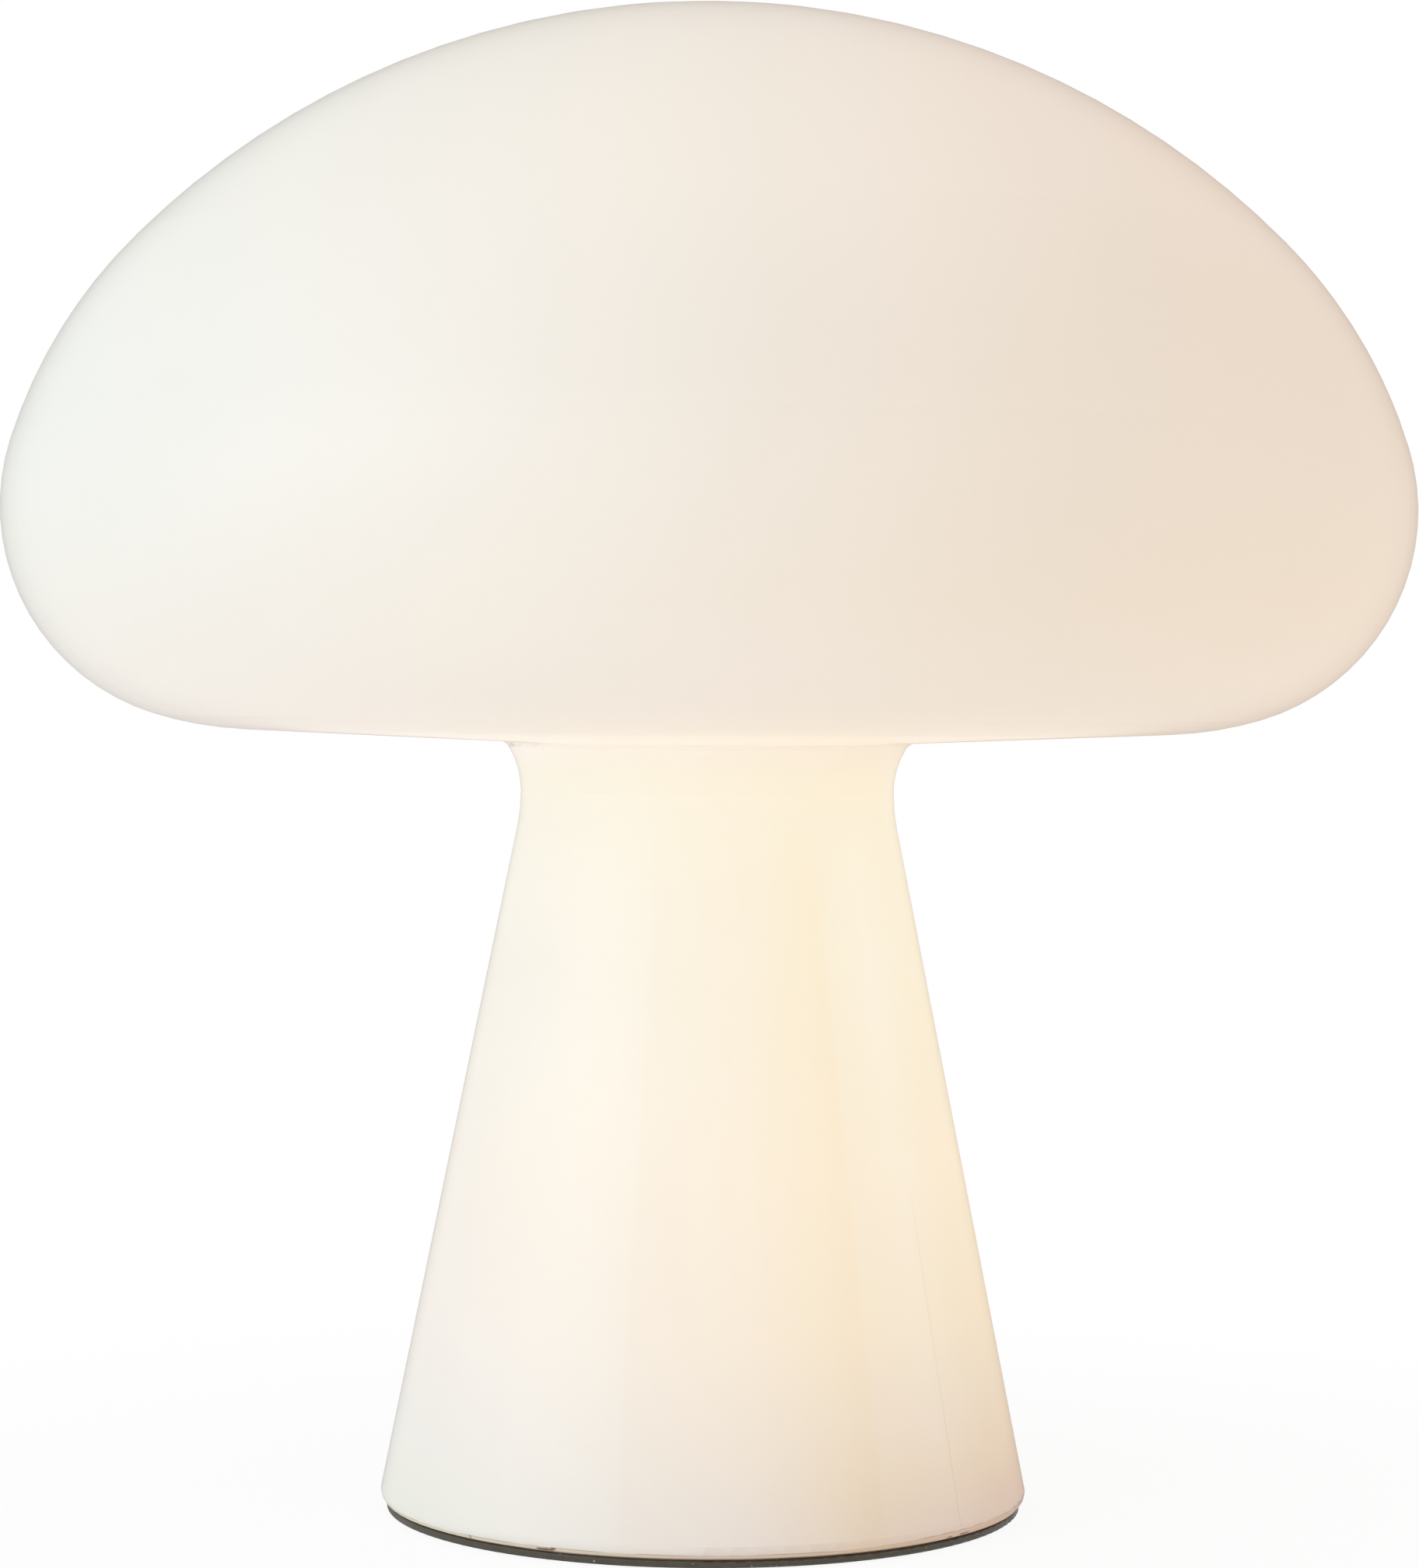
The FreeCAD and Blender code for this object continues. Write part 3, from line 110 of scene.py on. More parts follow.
class Wiring:
    """Adds nodes to one shader tree and joins them."""

    # The Mix node has sockets of the same names for numbers, so its colour sockets go by number.
    mix_share: int = 0
    mix_first: int = 6
    mix_second: int = 7
    mix_colour: int = 2

    def __init__(self, tree: bpy.types.NodeTree) -> None:
        """Hold the tree that the nodes go into."""
        self.tree = tree

    def feed(self, socket: bpy.types.NodeSocket, value: Fed) -> None:
        """Link a socket to another, or set its value.

        Args:
            socket: The input.
            value: An output socket, a number, or a colour or vector.
        """
        if isinstance(value, bpy.types.NodeSocket):
            self.tree.links.new(value, socket)
        else:
            socket.default_value = value

    def node(self, kind: str, inputs: dict[str | int, Fed] | None = None,
             **settings: object) -> bpy.types.Node:
        """Add a node.

        Args:
            kind: The node's type without its ShaderNode prefix, or a full type name.
            inputs: Values or sockets for its inputs, by name or index.
            **settings: Properties of the node.

        Returns:
            The node.
        """
        full = kind if kind.startswith("NodeGroup") else f"ShaderNode{kind}"
        node = self.tree.nodes.new(full)
        for name, value in settings.items():
            setattr(node, name, value)
        for key, value in (inputs or {}).items():
            self.feed(node.inputs[key], value)
        return node

    def maths(self, operation: str, first: Fed, second: Fed = 0.0,
              third: Fed = 0.0) -> bpy.types.NodeSocket:
        """The output of a Math node."""
        node = self.node("Math", {0: first, 1: second, 2: third}, operation=operation)
        return node.outputs[0]

    def mix(self, share: Fed, first: Fed, second: Fed,
            blend: str = "MIX") -> bpy.types.NodeSocket:
        """The colour between two colours at a share from 0 to 1."""
        node = self.node("Mix", {self.mix_share: share, self.mix_first: first,
                                 self.mix_second: second}, data_type="RGBA", blend_type=blend)
        return node.outputs[self.mix_colour]

    def span(self, value: Fed, low: Fed, high: Fed, to_low: Fed = 0.0, to_high: Fed = 1.0,
             smooth: bool = True) -> bpy.types.NodeSocket:
        """The value's place between low and high, from to_low to to_high, clamped."""
        node = self.node("MapRange", {0: value, 1: low, 2: high, 3: to_low, 4: to_high},
                         interpolation_type="SMOOTHSTEP" if smooth else "LINEAR")
        return node.outputs[0]

    def noise(self, place: Fed, scale: Fed, detail: float = 2.0,
              roughness: float = 0.5) -> bpy.types.NodeSocket:
        """A soft noise from 0 to 1 over a place."""
        node = self.node("TexNoise", {"Vector": place, "Scale": scale, "Detail": detail,
                                      "Roughness": roughness})
        return node.outputs["Fac"]

    def place(self) -> bpy.types.NodeSocket:
        """The surface's place in the lamp's frame, in metres."""
        return self.node("TexCoord").outputs["Object"]

    def ramp(self, value: Fed,
             stops: Iterable[tuple[float, Colour]]) -> bpy.types.NodeSocket:
        """The colour of a straight ramp at a value.

        Args:
            value: From 0 to 1.
            stops: Position and colour of each stop.

        Returns:
            The ramp's colour output.
        """
        node = self.node("ValToRGB", {"Fac": value})
        elements = node.color_ramp.elements
        ready = len(elements)
        for number, (position, colour) in enumerate(stops):
            element = elements[number] if number < ready else elements.new(position)
            element.position = position
            element.color = rgba(colour)
        return node.outputs["Color"]


class Effects:
    """The effects that several finishes share, each a node group made once."""

    cloud_edges: tuple[float, float] = (0.36, 0.64)
    worn_corner: tuple[float, float] = (0.995, 0.90)
    worn_patches: tuple[float, float] = (0.42, 0.62)
    stroke_strength: float = 0.4

    def __init__(self) -> None:
        """Make every group."""
        self.groups: dict[str, bpy.types.NodeTree] = {}
        self._make_drift()
        self._make_grain()
        self._make_wear()
        self._make_flecks()
        self._make_strokes()

    def _group(self, name: str, inputs: dict[str, float | Colour],
               outputs: dict[str, str]) -> tuple[Wiring, dict, bpy.types.Node]:
        """Start a group.

        Args:
            name: The group's name.
            inputs: Name and first value of each input, a number or a colour.
            outputs: Name and kind of each output: Float, Color or Vector.

        Returns:
            The wiring of its tree, its inputs by name, and its output node.
        """
        tree = bpy.data.node_groups.new(name, "ShaderNodeTree")
        for title, value in inputs.items():
            kind = "NodeSocketFloat" if isinstance(value, float) else "NodeSocketColor"
            socket = tree.interface.new_socket(title, in_out="INPUT", socket_type=kind)
            socket.default_value = value if isinstance(value, float) else rgba(value)
        for title, kind in outputs.items():
            tree.interface.new_socket(title, in_out="OUTPUT", socket_type=f"NodeSocket{kind}")
        self.groups[name] = tree
        wiring = Wiring(tree)
        entry = wiring.node("NodeGroupInput")
        leave = wiring.node("NodeGroupOutput")
        return wiring, {s.name: s for s in entry.outputs if s.name}, leave

    def _swung(self, wiring: Wiring, mask: bpy.types.NodeSocket,
               given: dict) -> bpy.types.NodeSocket:
        """The given roughness, swung to both sides of its level by a mask."""
        swing = wiring.maths("MULTIPLY", wiring.maths("SUBTRACT", mask, 0.5), given["Spread"])
        return wiring.maths("ADD", given["Roughness"], swing)

    def _make_drift(self) -> None:
        """Slow cloudy change: a colour between two, and a roughness round a level."""
        wiring, given, leave = self._group(
            "slow_drift",
            {"Colour": (0.5, 0.5, 0.5), "Second Colour": (0.4, 0.4, 0.4), "Scale": 20.0,
             "Roughness": 0.5, "Spread": 0.05},
            {"Colour": "Color", "Roughness": "Float"})
        cloud = wiring.noise(wiring.place(), given["Scale"], detail=4.0, roughness=0.55)
        mask = wiring.span(cloud, *self.cloud_edges)
        wiring.feed(leave.inputs["Colour"],
                    wiring.mix(mask, given["Colour"], given["Second Colour"]))
        wiring.feed(leave.inputs["Roughness"], self._swung(wiring, mask, given))

    def _make_grain(self) -> None:
        """Fine grain of a cast, moulded, coated or etched skin, as a normal."""
        wiring, given, leave = self._group(
            "fine_grain", {"Scale": 2000.0, "Depth": 0.00002, "Strength": 0.5},
            {"Normal": "Vector"})
        height = wiring.noise(wiring.place(), given["Scale"], detail=3.0, roughness=0.6)
        bump = wiring.node("Bump", {"Strength": given["Strength"], "Distance": given["Depth"],
                                    "Height": height})
        wiring.feed(leave.inputs["Normal"], bump.outputs["Normal"])

    def _make_wear(self) -> None:
        """Edges rubbed by handling: a mask that is broken up along sharp corners."""
        wiring, given, leave = self._group(
            "edge_wear", {"Reach": 0.0003, "Amount": 1.0, "Scale": 900.0}, {"Mask": "Float"})
        bevel = wiring.node("Bevel", {"Radius": given["Reach"]}, samples=4)
        true_normal = wiring.node("NewGeometry").outputs["Normal"]
        turn = wiring.node("VectorMath", {0: bevel.outputs[0], 1: true_normal},
                           operation="DOT_PRODUCT").outputs["Value"]
        edge = wiring.span(turn, *self.worn_corner)
        broken = wiring.span(wiring.noise(wiring.place(), given["Scale"], detail=3.0),
                             *self.worn_patches)
        mask = wiring.maths("MULTIPLY", wiring.maths("MULTIPLY", edge, broken), given["Amount"])
        wiring.feed(leave.inputs["Mask"], mask)

    def _make_flecks(self) -> None:
        """Scattered small flecks: some cells of a fine cell pattern hold a spot."""
        wiring, given, leave = self._group(
            "flecks", {"Scale": 1500.0, "Share": 0.1, "Size": 0.3}, {"Mask": "Float"})
        cells = wiring.node("TexVoronoi", {"Vector": wiring.place(), "Scale": given["Scale"]})
        picked = wiring.node("SeparateColor", {0: cells.outputs["Color"]}).outputs[0]
        chosen = wiring.maths("LESS_THAN", picked, given["Share"])
        spot = wiring.span(cells.outputs["Distance"], given["Size"], 0.0)
        wiring.feed(leave.inputs["Mask"], wiring.maths("MULTIPLY", chosen, spot))

    def _make_strokes(self) -> None:
        """Marks that run one way, as brushing or drawing leaves: a roughness and a normal."""
        wiring, given, leave = self._group(
            "strokes", {"Along": (1.0, 40.0, 40.0), "Scale": 60.0, "Depth": 0.00001,
                        "Roughness": 0.3, "Spread": 0.1},
            {"Roughness": "Float", "Normal": "Vector"})
        stretched = wiring.node("VectorMath", {0: wiring.place(), 1: given["Along"]},
                                operation="MULTIPLY").outputs[0]
        mask = wiring.noise(stretched, given["Scale"], detail=3.0, roughness=0.7)
        bump = wiring.node("Bump", {"Strength": self.stroke_strength, "Distance": given["Depth"],
                                    "Height": mask})
        wiring.feed(leave.inputs["Roughness"], self._swung(wiring, mask, given))
        wiring.feed(leave.inputs["Normal"], bump.outputs["Normal"])

    def use(self, wiring: Wiring, name: str, **inputs: Fed) -> bpy.types.Node:
        """Place a group in a material.

        Args:
            wiring: The material's wiring.
            name: The group's name.
            **inputs: Values by input name, with _ for a space.

        Returns:
            The group's node.
        """
        node = wiring.node("Group", node_tree=self.groups[name])
        for title, value in inputs.items():
            wiring.feed(node.inputs[title.replace("_", " ")], value)
        return node


@dataclass(frozen=True)
class Batch:
    """A material in the making: the wiring of its tree, its shader and the shared effects."""

    wiring: Wiring
    shader: bpy.types.Node
    effects: Effects

    def feed(self, **inputs: Fed) -> None:
        """Link or set inputs of the shader, by name with _ for a space."""
        for title, value in inputs.items():
            self.wiring.feed(self.shader.inputs[title.replace("_", " ")], value)

    def effect(self, name: str, **inputs: Fed) -> bpy.types.bpy_prop_collection:
        """The outputs of a shared effect that is placed with these inputs."""
        return self.effects.use(self.wiring, name, **inputs).outputs


@dataclass(frozen=True)
class Finish:
    """A finish, made once as a material of its own name."""

    name: str

    def build(self, effects: Effects) -> bpy.types.Material:
        """Make the material.

        Args:
            effects: The shared groups.

        Returns:
            The material.
        """
        material = bpy.data.materials.new(self.name)
        material.use_nodes = True
        tree = material.node_tree
        self.wire(Batch(Wiring(tree), tree.nodes["Principled BSDF"], effects))
        return material

    def wire(self, batch: Batch) -> None:
        """Feed the shader, which each kind of finish does in its own way."""
        raise NotImplementedError


@dataclass(frozen=True)
class Clouded(Finish):
    """A finish whose colour drifts slowly between two, and whose roughness varies with it."""

    colour: Colour
    second: Colour
    roughness: float = 0.5
    roughness_spread: float = 0.1
    cloud_scale: float = 70.0

    def _cloud(self, batch: Batch) -> bpy.types.NodeSocket:
        """Feed the drifting colour and roughness.

        Args:
            batch: The material in the making.

        Returns:
            The colour.
        """
        cloud = batch.effect("slow_drift", Colour=rgba(self.colour),
                             Second_Colour=rgba(self.second), Scale=self.cloud_scale,
                             Roughness=self.roughness, Spread=self.roughness_spread)
        batch.feed(Base_Color=cloud["Colour"], Roughness=cloud["Roughness"])
        return cloud["Colour"]


@dataclass(frozen=True)
class Grained(Clouded):
    """A clouded finish with a fine grain."""

    grain_scale: float = 1600.0
    grain_depth: float = 0.00003
    grain_strength: float = 0.45

    def _grain(self, batch: Batch) -> bpy.types.NodeSocket:
        """Feed the grain's normal.

        Args:
            batch: The material in the making.

        Returns:
            The normal.
        """
        normal = batch.effect("fine_grain", Scale=self.grain_scale, Depth=self.grain_depth,
                              Strength=self.grain_strength)["Normal"]
        batch.feed(Normal=normal)
        return normal


@dataclass(frozen=True)
class GlowStop:
    """What leaves the glass at one height, towards -X and +X, which differ by painted light and
    shade.
    """

    height: float
    left: Colour
    right: Colour


@dataclass(frozen=True)
class Glow:
    """The lamp's own light as it leaves the glass, with painted light and shade of the studio's
    lamps in it.
    """

    lowest: float = 0.0
    highest: float = 0.250
    stops: tuple[GlowStop, ...] = (
        GlowStop(0.003, (0.143, 0.147, 0.109), (0.133, 0.015, 0.000)),
        GlowStop(0.015, (0.165, 0.147, 0.130), (0.231, 0.103, 0.005)),
        GlowStop(0.035, (0.205, 0.154, 0.129), (0.335, 0.207, 0.051)),
        GlowStop(0.060, (0.209, 0.156, 0.113), (0.376, 0.264, 0.109)),
        GlowStop(0.090, (0.207, 0.179, 0.134), (0.338, 0.260, 0.124)),
        GlowStop(0.116, (0.257, 0.246, 0.193), (0.321, 0.272, 0.159)),
        GlowStop(0.123, (0.311, 0.285, 0.210), (0.357, 0.284, 0.161)),
        GlowStop(0.127, (0.365, 0.310, 0.270), (0.350, 0.265, 0.170)),
        GlowStop(0.134, (0.279, 0.245, 0.218), (0.287, 0.187, 0.111)),
        GlowStop(0.150, (0.196, 0.181, 0.149), (0.267, 0.147, 0.049)),
        GlowStop(0.180, (0.102, 0.106, 0.089), (0.224, 0.106, 0.017)),
        GlowStop(0.250, (0.054, 0.052, 0.021), (0.151, 0.054, 0.000)),
    )

    def share(self, height: float) -> float:
        """The height as a share of the ramp."""
        return (height - self.lowest) / (self.highest - self.lowest)


@dataclass(frozen=True)
class Window:
    """A range with soft ends: nothing at start, all from full to still_full, nothing at end."""

    start: float
    full: float
    still_full: float
    end: float

    def share(self, wiring: Wiring, value: Fed) -> bpy.types.NodeSocket:
        """How far a value is inside, from 0 to 1."""
        return wiring.maths("MULTIPLY", wiring.span(value, self.start, self.full),
                            wiring.span(value, self.end, self.still_full))

    def turned(self, wiring: Wiring, turn: Fed) -> bpy.types.NodeSocket:
        """How far a turn in radians is inside, where the range is in degrees."""
        degrees = wiring.maths("MULTIPLY", turn, 180.0 / math.pi)
        return self.share(wiring, degrees)


@dataclass(frozen=True)
class MouldSeam:
    """A fine line that the mould left down the stem."""

    turn: float
    height: Window
    width: float
    depth: float


@dataclass(frozen=True)
class StemTurnTint:
    """The tint of the lower stem at one turn round it."""

    turn: float
    tint: Colour


@dataclass(frozen=True)
class Smudge:
    """A speck of old sealant, or a nick, at the foot's ground edge."""

    turn: float
    height: float
    width: float
    tall: float
    strength: float = 0.8


@dataclass(frozen=True)
class Whereabouts:
    """Where a point of the turned glass is, its turn in radians from the front towards +X."""

    place: bpy.types.NodeSocket
    turn: bpy.types.NodeSocket
    radius: bpy.types.NodeSocket
    height: bpy.types.NodeSocket

    @classmethod
    def on_surface(cls, wiring: Wiring) -> "Whereabouts":
        """Read the surface's place in a material.

        Args:
            wiring: The material's wiring.

        Returns:
            The place, also as turn, radius and height.
        """
        place = wiring.place()
        x, y, height = wiring.node("SeparateXYZ", {0: place}).outputs
        turn = wiring.maths("ARCTAN2", x, wiring.maths("MULTIPLY", y, -1.0))
        flat = wiring.node("VectorMath", {0: place, 1: (1.0, 1.0, 0.0)}, operation="MULTIPLY")
        radius = wiring.node("VectorMath", {0: flat.outputs[0]}, operation="LENGTH")
        return cls(place, turn, radius.outputs["Value"], height)


@dataclass(frozen=True)
class Mark:
    """A kind of mark on the glass: where it is, its colour and how far it dims the light."""

    mask: bpy.types.NodeSocket
    paint: Colour
    dimming: float


@dataclass(frozen=True)
class OpalGlass(Grained):
    """Opal glass, satin etched outside and lit from inside."""

    name: str = "opal_glass"
    colour: Colour = (0.775, 0.760, 0.730)
    second: Colour = (0.785, 0.770, 0.740)
    roughness: float = 0.46
    roughness_spread: float = 0.06
    cloud_scale: float = 14.0
    grain_scale: float = 2600.0
    grain_depth: float = 0.000012
    grain_strength: float = 0.35
    wave_scale: float = 16.0
    wave_depth: float = 0.0009
    wave_strength: float = 0.12
    refraction: float = 1.5
    specular: float = 0.25

    rim_shade: Colour = (0.49, 0.47, 0.46)
    rim_start: float = 0.62
    rim_power: float = 3.2
    rim_on_light: float = 0.5
    open_neck_radius: Window = Window(0.030, 0.035, 0.075, 0.105)
    open_neck_height: Window = Window(0.1180, 0.1235, 0.1312, 0.1345)
    open_neck_turn: tuple[float, float] = (60.0, 42.0)

    glow: Glow = Glow()
    crown_height: tuple[float, float] = (0.222, 0.250)
    crown_spread: float = 0.035
    streak_share: float = 0.05
    streak_scale: float = 5.5
    streak_rise: float = 1.5
    streak_height: tuple[float, float] = (0.115, 0.080)
    warmth_scale: float = 11.0
    warmth_edges: tuple[float, float] = (0.35, 0.65)
    warm_light: Colour = (1.0, 0.985, 0.95)
    cool_light: Colour = (1.0, 1.0, 1.04)

    seam_colour: Colour = (0.50, 0.43, 0.35)
    seam_dimming: float = 0.4
    seams: tuple[MouldSeam, ...] = (
        MouldSeam(50.0, Window(0.002, 0.005, 0.045, 0.068), width=0.00022, depth=0.20),
        MouldSeam(5.5, Window(0.055, 0.060, 0.070, 0.085), width=0.00018, depth=0.05),
    )
    stem_tint_sweep: float = 90.0
    stem_tint_height: tuple[float, float] = (0.122, 0.098)
    stem_turn_tints: tuple[StemTurnTint, ...] = (
        StemTurnTint(-72.0, (1.00, 1.00, 0.99)),
        StemTurnTint(-45.0, (0.99, 0.99, 0.99)),
        StemTurnTint(-15.2, (0.97, 0.98, 0.99)),
        StemTurnTint(-14.0, (0.97, 0.965, 0.965)),
        StemTurnTint(8.0, (0.98, 0.98, 0.98)),
        StemTurnTint(24.0, (0.985, 0.98, 0.945)),
        StemTurnTint(31.6, (0.985, 0.972, 0.930)),
        StemTurnTint(32.8, (0.985, 0.990, 0.985)),
        StemTurnTint(47.0, (0.990, 1.015, 1.050)),
        StemTurnTint(54.0, (0.985, 1.000, 1.020)),
        StemTurnTint(63.0, (0.980, 0.985, 0.980)),
        StemTurnTint(78.0, (0.980, 0.975, 0.965)),
        StemTurnTint(90.0, (1.00, 1.00, 0.99)),
    )
    # Painted shade: a warm darkening low on the foot, on the side towards +X.
    foot_painted_shade: Colour = (1.0, 0.970, 0.885)
    foot_painted_shade_height: tuple[float, float] = (0.024, 0.006)
    foot_painted_shade_turn: Window = Window(8.0, 34.0, 100.0, 160.0)

    lip_height: float = 0.00245
    lip_rise: float = 0.0007
    lip_rise_turn: Window = Window(20.0, 65.0, 100.0, 160.0)
    lip_colour: Colour = (0.69, 0.56, 0.40)
    lip_cover: float = 0.62
    lip_dimming: float = 0.35
    lip_line_colour: Colour = (0.30, 0.20, 0.14)
    lip_line_width: float = 0.00010
    lip_line_breaks: tuple[float, float, float, float] = (0.35, 0.6, 0.15, 0.75)
    lip_line_dimming: float = 0.5
    unevenness_scale: float = 160.0
    smudge_colour: Colour = (0.17, 0.062, 0.026)
    smudge_dimming: float = 0.9
    smudge_ragged_scale: float = 1400.0
    smudge_raggedness: float = 1.2
    smudge_edge: tuple[float, float] = (1.6, 0.7)
    smudges: tuple[Smudge, ...] = (
        Smudge(turn=-27.4, height=0.0021, width=0.0021, tall=0.00030, strength=0.9),
        Smudge(turn=-26.0, height=0.0023, width=0.0007, tall=0.00030, strength=0.9),
        Smudge(turn=-43.6, height=0.0022, width=0.0003, tall=0.0004, strength=0.6),
        Smudge(turn=51.5, height=0.0022, width=0.0020, tall=0.00022, strength=0.7),
        Smudge(turn=47.5, height=0.0021, width=0.0009, tall=0.00020, strength=0.6),
        Smudge(turn=74.0, height=0.0022, width=0.0012, tall=0.00040),
    )

    def wire(self, batch: Batch) -> None:
        """Feed tinted and marked opal, the light that comes through it, and its etched skin.

        Args:
            batch: The material in the making.
        """
        wiring = batch.wiring
        at = Whereabouts.on_surface(wiring)
        shade = self._shade(wiring, at)
        # The tint carries the stem's tints and the foot's painted shade into both the colour and
        # the light.
        tint = self._tint(wiring, at)

        colour = wiring.mix(1.0, self._cloud(batch), tint, blend="MULTIPLY")
        dark: Fed = 0.0
        for mark in self._marks(wiring, at):
            colour = wiring.mix(mark.mask, colour, rgba(mark.paint))
            dark = wiring.maths("MULTIPLY_ADD", mark.mask, mark.dimming, dark)
        batch.feed(Base_Color=wiring.mix(1.0, colour, shade, blend="MULTIPLY"))

        light = wiring.mix(1.0, self._light(wiring, at), tint, blend="MULTIPLY")
        dimmed = wiring.mix(dark, light, rgba(BLACK))
        batch.feed(Emission_Color=wiring.mix(self.rim_on_light, dimmed, shade, blend="MULTIPLY"),
                   Emission_Strength=1.0)

        wave = wiring.node("Bump", {
            "Strength": self.wave_strength, "Distance": self.wave_depth,
            "Height": wiring.noise(at.place, self.wave_scale, detail=1.0),
            "Normal": self._grain(batch)})
        batch.feed(Normal=wave.outputs["Normal"], IOR=self.refraction,
                   Specular_IOR_Level=self.specular)

    def _shade(self, wiring: Wiring, at: Whereabouts) -> bpy.types.NodeSocket:
        """Glass seen along its wall looks a little darker, except where the neck opens out.

        Args:
            wiring: The material's wiring.
            at: Where the surface is.

        Returns:
            A factor, white where the wall faces the eye.
        """
        facing = wiring.node("LayerWeight", {"Blend": 0.5}).outputs["Facing"]
        along = wiring.span(facing, self.rim_start, 1.0, smooth=False)
        share = wiring.maths("POWER", along, self.rim_power)
        neck = wiring.maths("MULTIPLY", self.open_neck_radius.share(wiring, at.radius),
                            self.open_neck_height.share(wiring, at.height))
        front = wiring.span(wiring.maths("ABSOLUTE", at.turn),
                            *(math.radians(turn) for turn in self.open_neck_turn))
        kept = wiring.maths("SUBTRACT", 1.0, wiring.maths("MULTIPLY", neck, front))
        return wiring.mix(wiring.maths("MULTIPLY", share, kept), rgba(WHITE),
                          rgba(self.rim_shade))

    def _marks(self, wiring: Wiring, at: Whereabouts) -> list[Mark]:
        """Mould seams, the foot's ground lip and what is stuck to it.

        Args:
            wiring: The material's wiring.
            at: Where the surface is.

        Returns:
            The kinds of mark, from the lowest layer to the topmost.
        """
        seam: Fed = 0.0
        for line in self.seams:
            away = self._away(wiring, at, line.turn)
            core = wiring.span(away, line.width, line.width / 4)
            shown = wiring.maths("MULTIPLY", line.height.share(wiring, at.height), core)
            seam = wiring.maths("MULTIPLY_ADD", shown, line.depth, seam)
        uneven = wiring.noise(at.place, self.unevenness_scale, detail=3.0)
        top = wiring.maths("MULTIPLY_ADD", self.lip_rise_turn.turned(wiring, at.turn),
                           self.lip_rise, self.lip_height - self.lip_line_width)
        wander = wiring.maths("MULTIPLY_ADD", uneven, self.lip_line_width * 2, top)
        lip = wiring.maths("LESS_THAN", at.height, wander)
        off = wiring.maths("ABSOLUTE", wiring.maths("SUBTRACT", at.height, wander))
        edge = wiring.maths("MULTIPLY", wiring.span(off, self.lip_line_width, 0.0),
                            wiring.span(uneven, *self.lip_line_breaks))
        return [Mark(seam, self.seam_colour, self.seam_dimming),
                Mark(wiring.maths("MULTIPLY", lip, self.lip_cover), self.lip_colour,
                     self.lip_dimming),
                Mark(edge, self.lip_line_colour, self.lip_line_dimming),
                Mark(self._smudged(wiring, at), self.smudge_colour, self.smudge_dimming)]

    def _smudged(self, wiring: Wiring, at: Whereabouts) -> bpy.types.NodeSocket:
        """How far each point is covered by a smudge, with ragged edges.

        Args:
            wiring: The material's wiring.
            at: Where the surface is.

        Returns:
            The cover, from 0 to 1.
        """
        cover: Fed = 0.0
        for spot in self.smudges:
            along = wiring.maths("DIVIDE", self._away(wiring, at, spot.turn), spot.width)
            up = wiring.maths("DIVIDE", wiring.maths("SUBTRACT", at.height, spot.height),
                              spot.tall)
            reach = wiring.maths("ADD", wiring.maths("MULTIPLY", along, along),
                                 wiring.maths("MULTIPLY", up, up))
            ragged = wiring.maths("MULTIPLY_ADD",
                                  wiring.noise(at.place, self.smudge_ragged_scale),
                                  self.smudge_raggedness, reach)
            shown = wiring.span(ragged, *self.smudge_edge, 0.0, spot.strength)
            cover = wiring.maths("MAXIMUM", cover, shown)
        return cover

    def _away(self, wiring: Wiring, at: Whereabouts, degrees: float) -> bpy.types.NodeSocket:
        """How far round the surface a point is from a turn."""
        arc = wiring.maths("SUBTRACT", at.turn, math.radians(degrees))
        return wiring.maths("ABSOLUTE", wiring.maths("MULTIPLY", arc, at.radius))

    def _tint(self, wiring: Wiring, at: Whereabouts) -> bpy.types.NodeSocket:
        """The stem's tints by turn round it, and a painted warm shade on the low foot towards
        +X.

        Args:
            wiring: The material's wiring.
            at: Where the surface is.

        Returns:
            The tint, white where there is none.
        """
        sweep = math.radians(self.stem_tint_sweep)
        around = wiring.span(at.turn, -sweep, sweep, smooth=False)
        stem_turn_tints = wiring.ramp(around, [((stop.turn + self.stem_tint_sweep) / (2 * self.stem_tint_sweep),
                                      stop.tint) for stop in self.stem_turn_tints])
        on_stem = wiring.span(at.height, *self.stem_tint_height)
        tint = wiring.mix(on_stem, rgba(WHITE), stem_turn_tints)
        # Painted shade: a warm darkening of the low foot towards +X, on its colour and its
        # light.
        low = wiring.span(at.height, *self.foot_painted_shade_height)
        foot = wiring.maths("MULTIPLY", low, self.foot_painted_shade_turn.turned(wiring, at.turn))
        return wiring.mix(1.0, tint, wiring.mix(foot, rgba(WHITE), rgba(self.foot_painted_shade)),
                          blend="MULTIPLY")

    def _light(self, wiring: Wiring, at: Whereabouts) -> bpy.types.NodeSocket:
        """The light that comes through by height, with painted light and shade by side, and
        faint streaks and clouds.

        Args:
            wiring: The material's wiring.
            at: Where the surface is.

        Returns:
            The colour of the light.
        """
        glow = self.glow
        level = wiring.span(at.height, glow.lowest, glow.highest, smooth=False)
        left = wiring.ramp(level, [(glow.share(s.height), s.left) for s in glow.stops])
        right = wiring.ramp(level, [(glow.share(s.height), s.right) for s in glow.stops])
        spread = wiring.span(at.height, *self.crown_height, 0.0, self.crown_spread)
        reach = wiring.maths("SQRT", wiring.maths("MULTIPLY_ADD", at.radius, at.radius,
                                                  wiring.maths("MULTIPLY", spread, spread)))
        out = wiring.maths("MULTIPLY", wiring.maths("SINE", at.turn), at.radius)
        side = wiring.maths("MULTIPLY_ADD", wiring.maths("DIVIDE", out, reach), 0.5, 0.5)
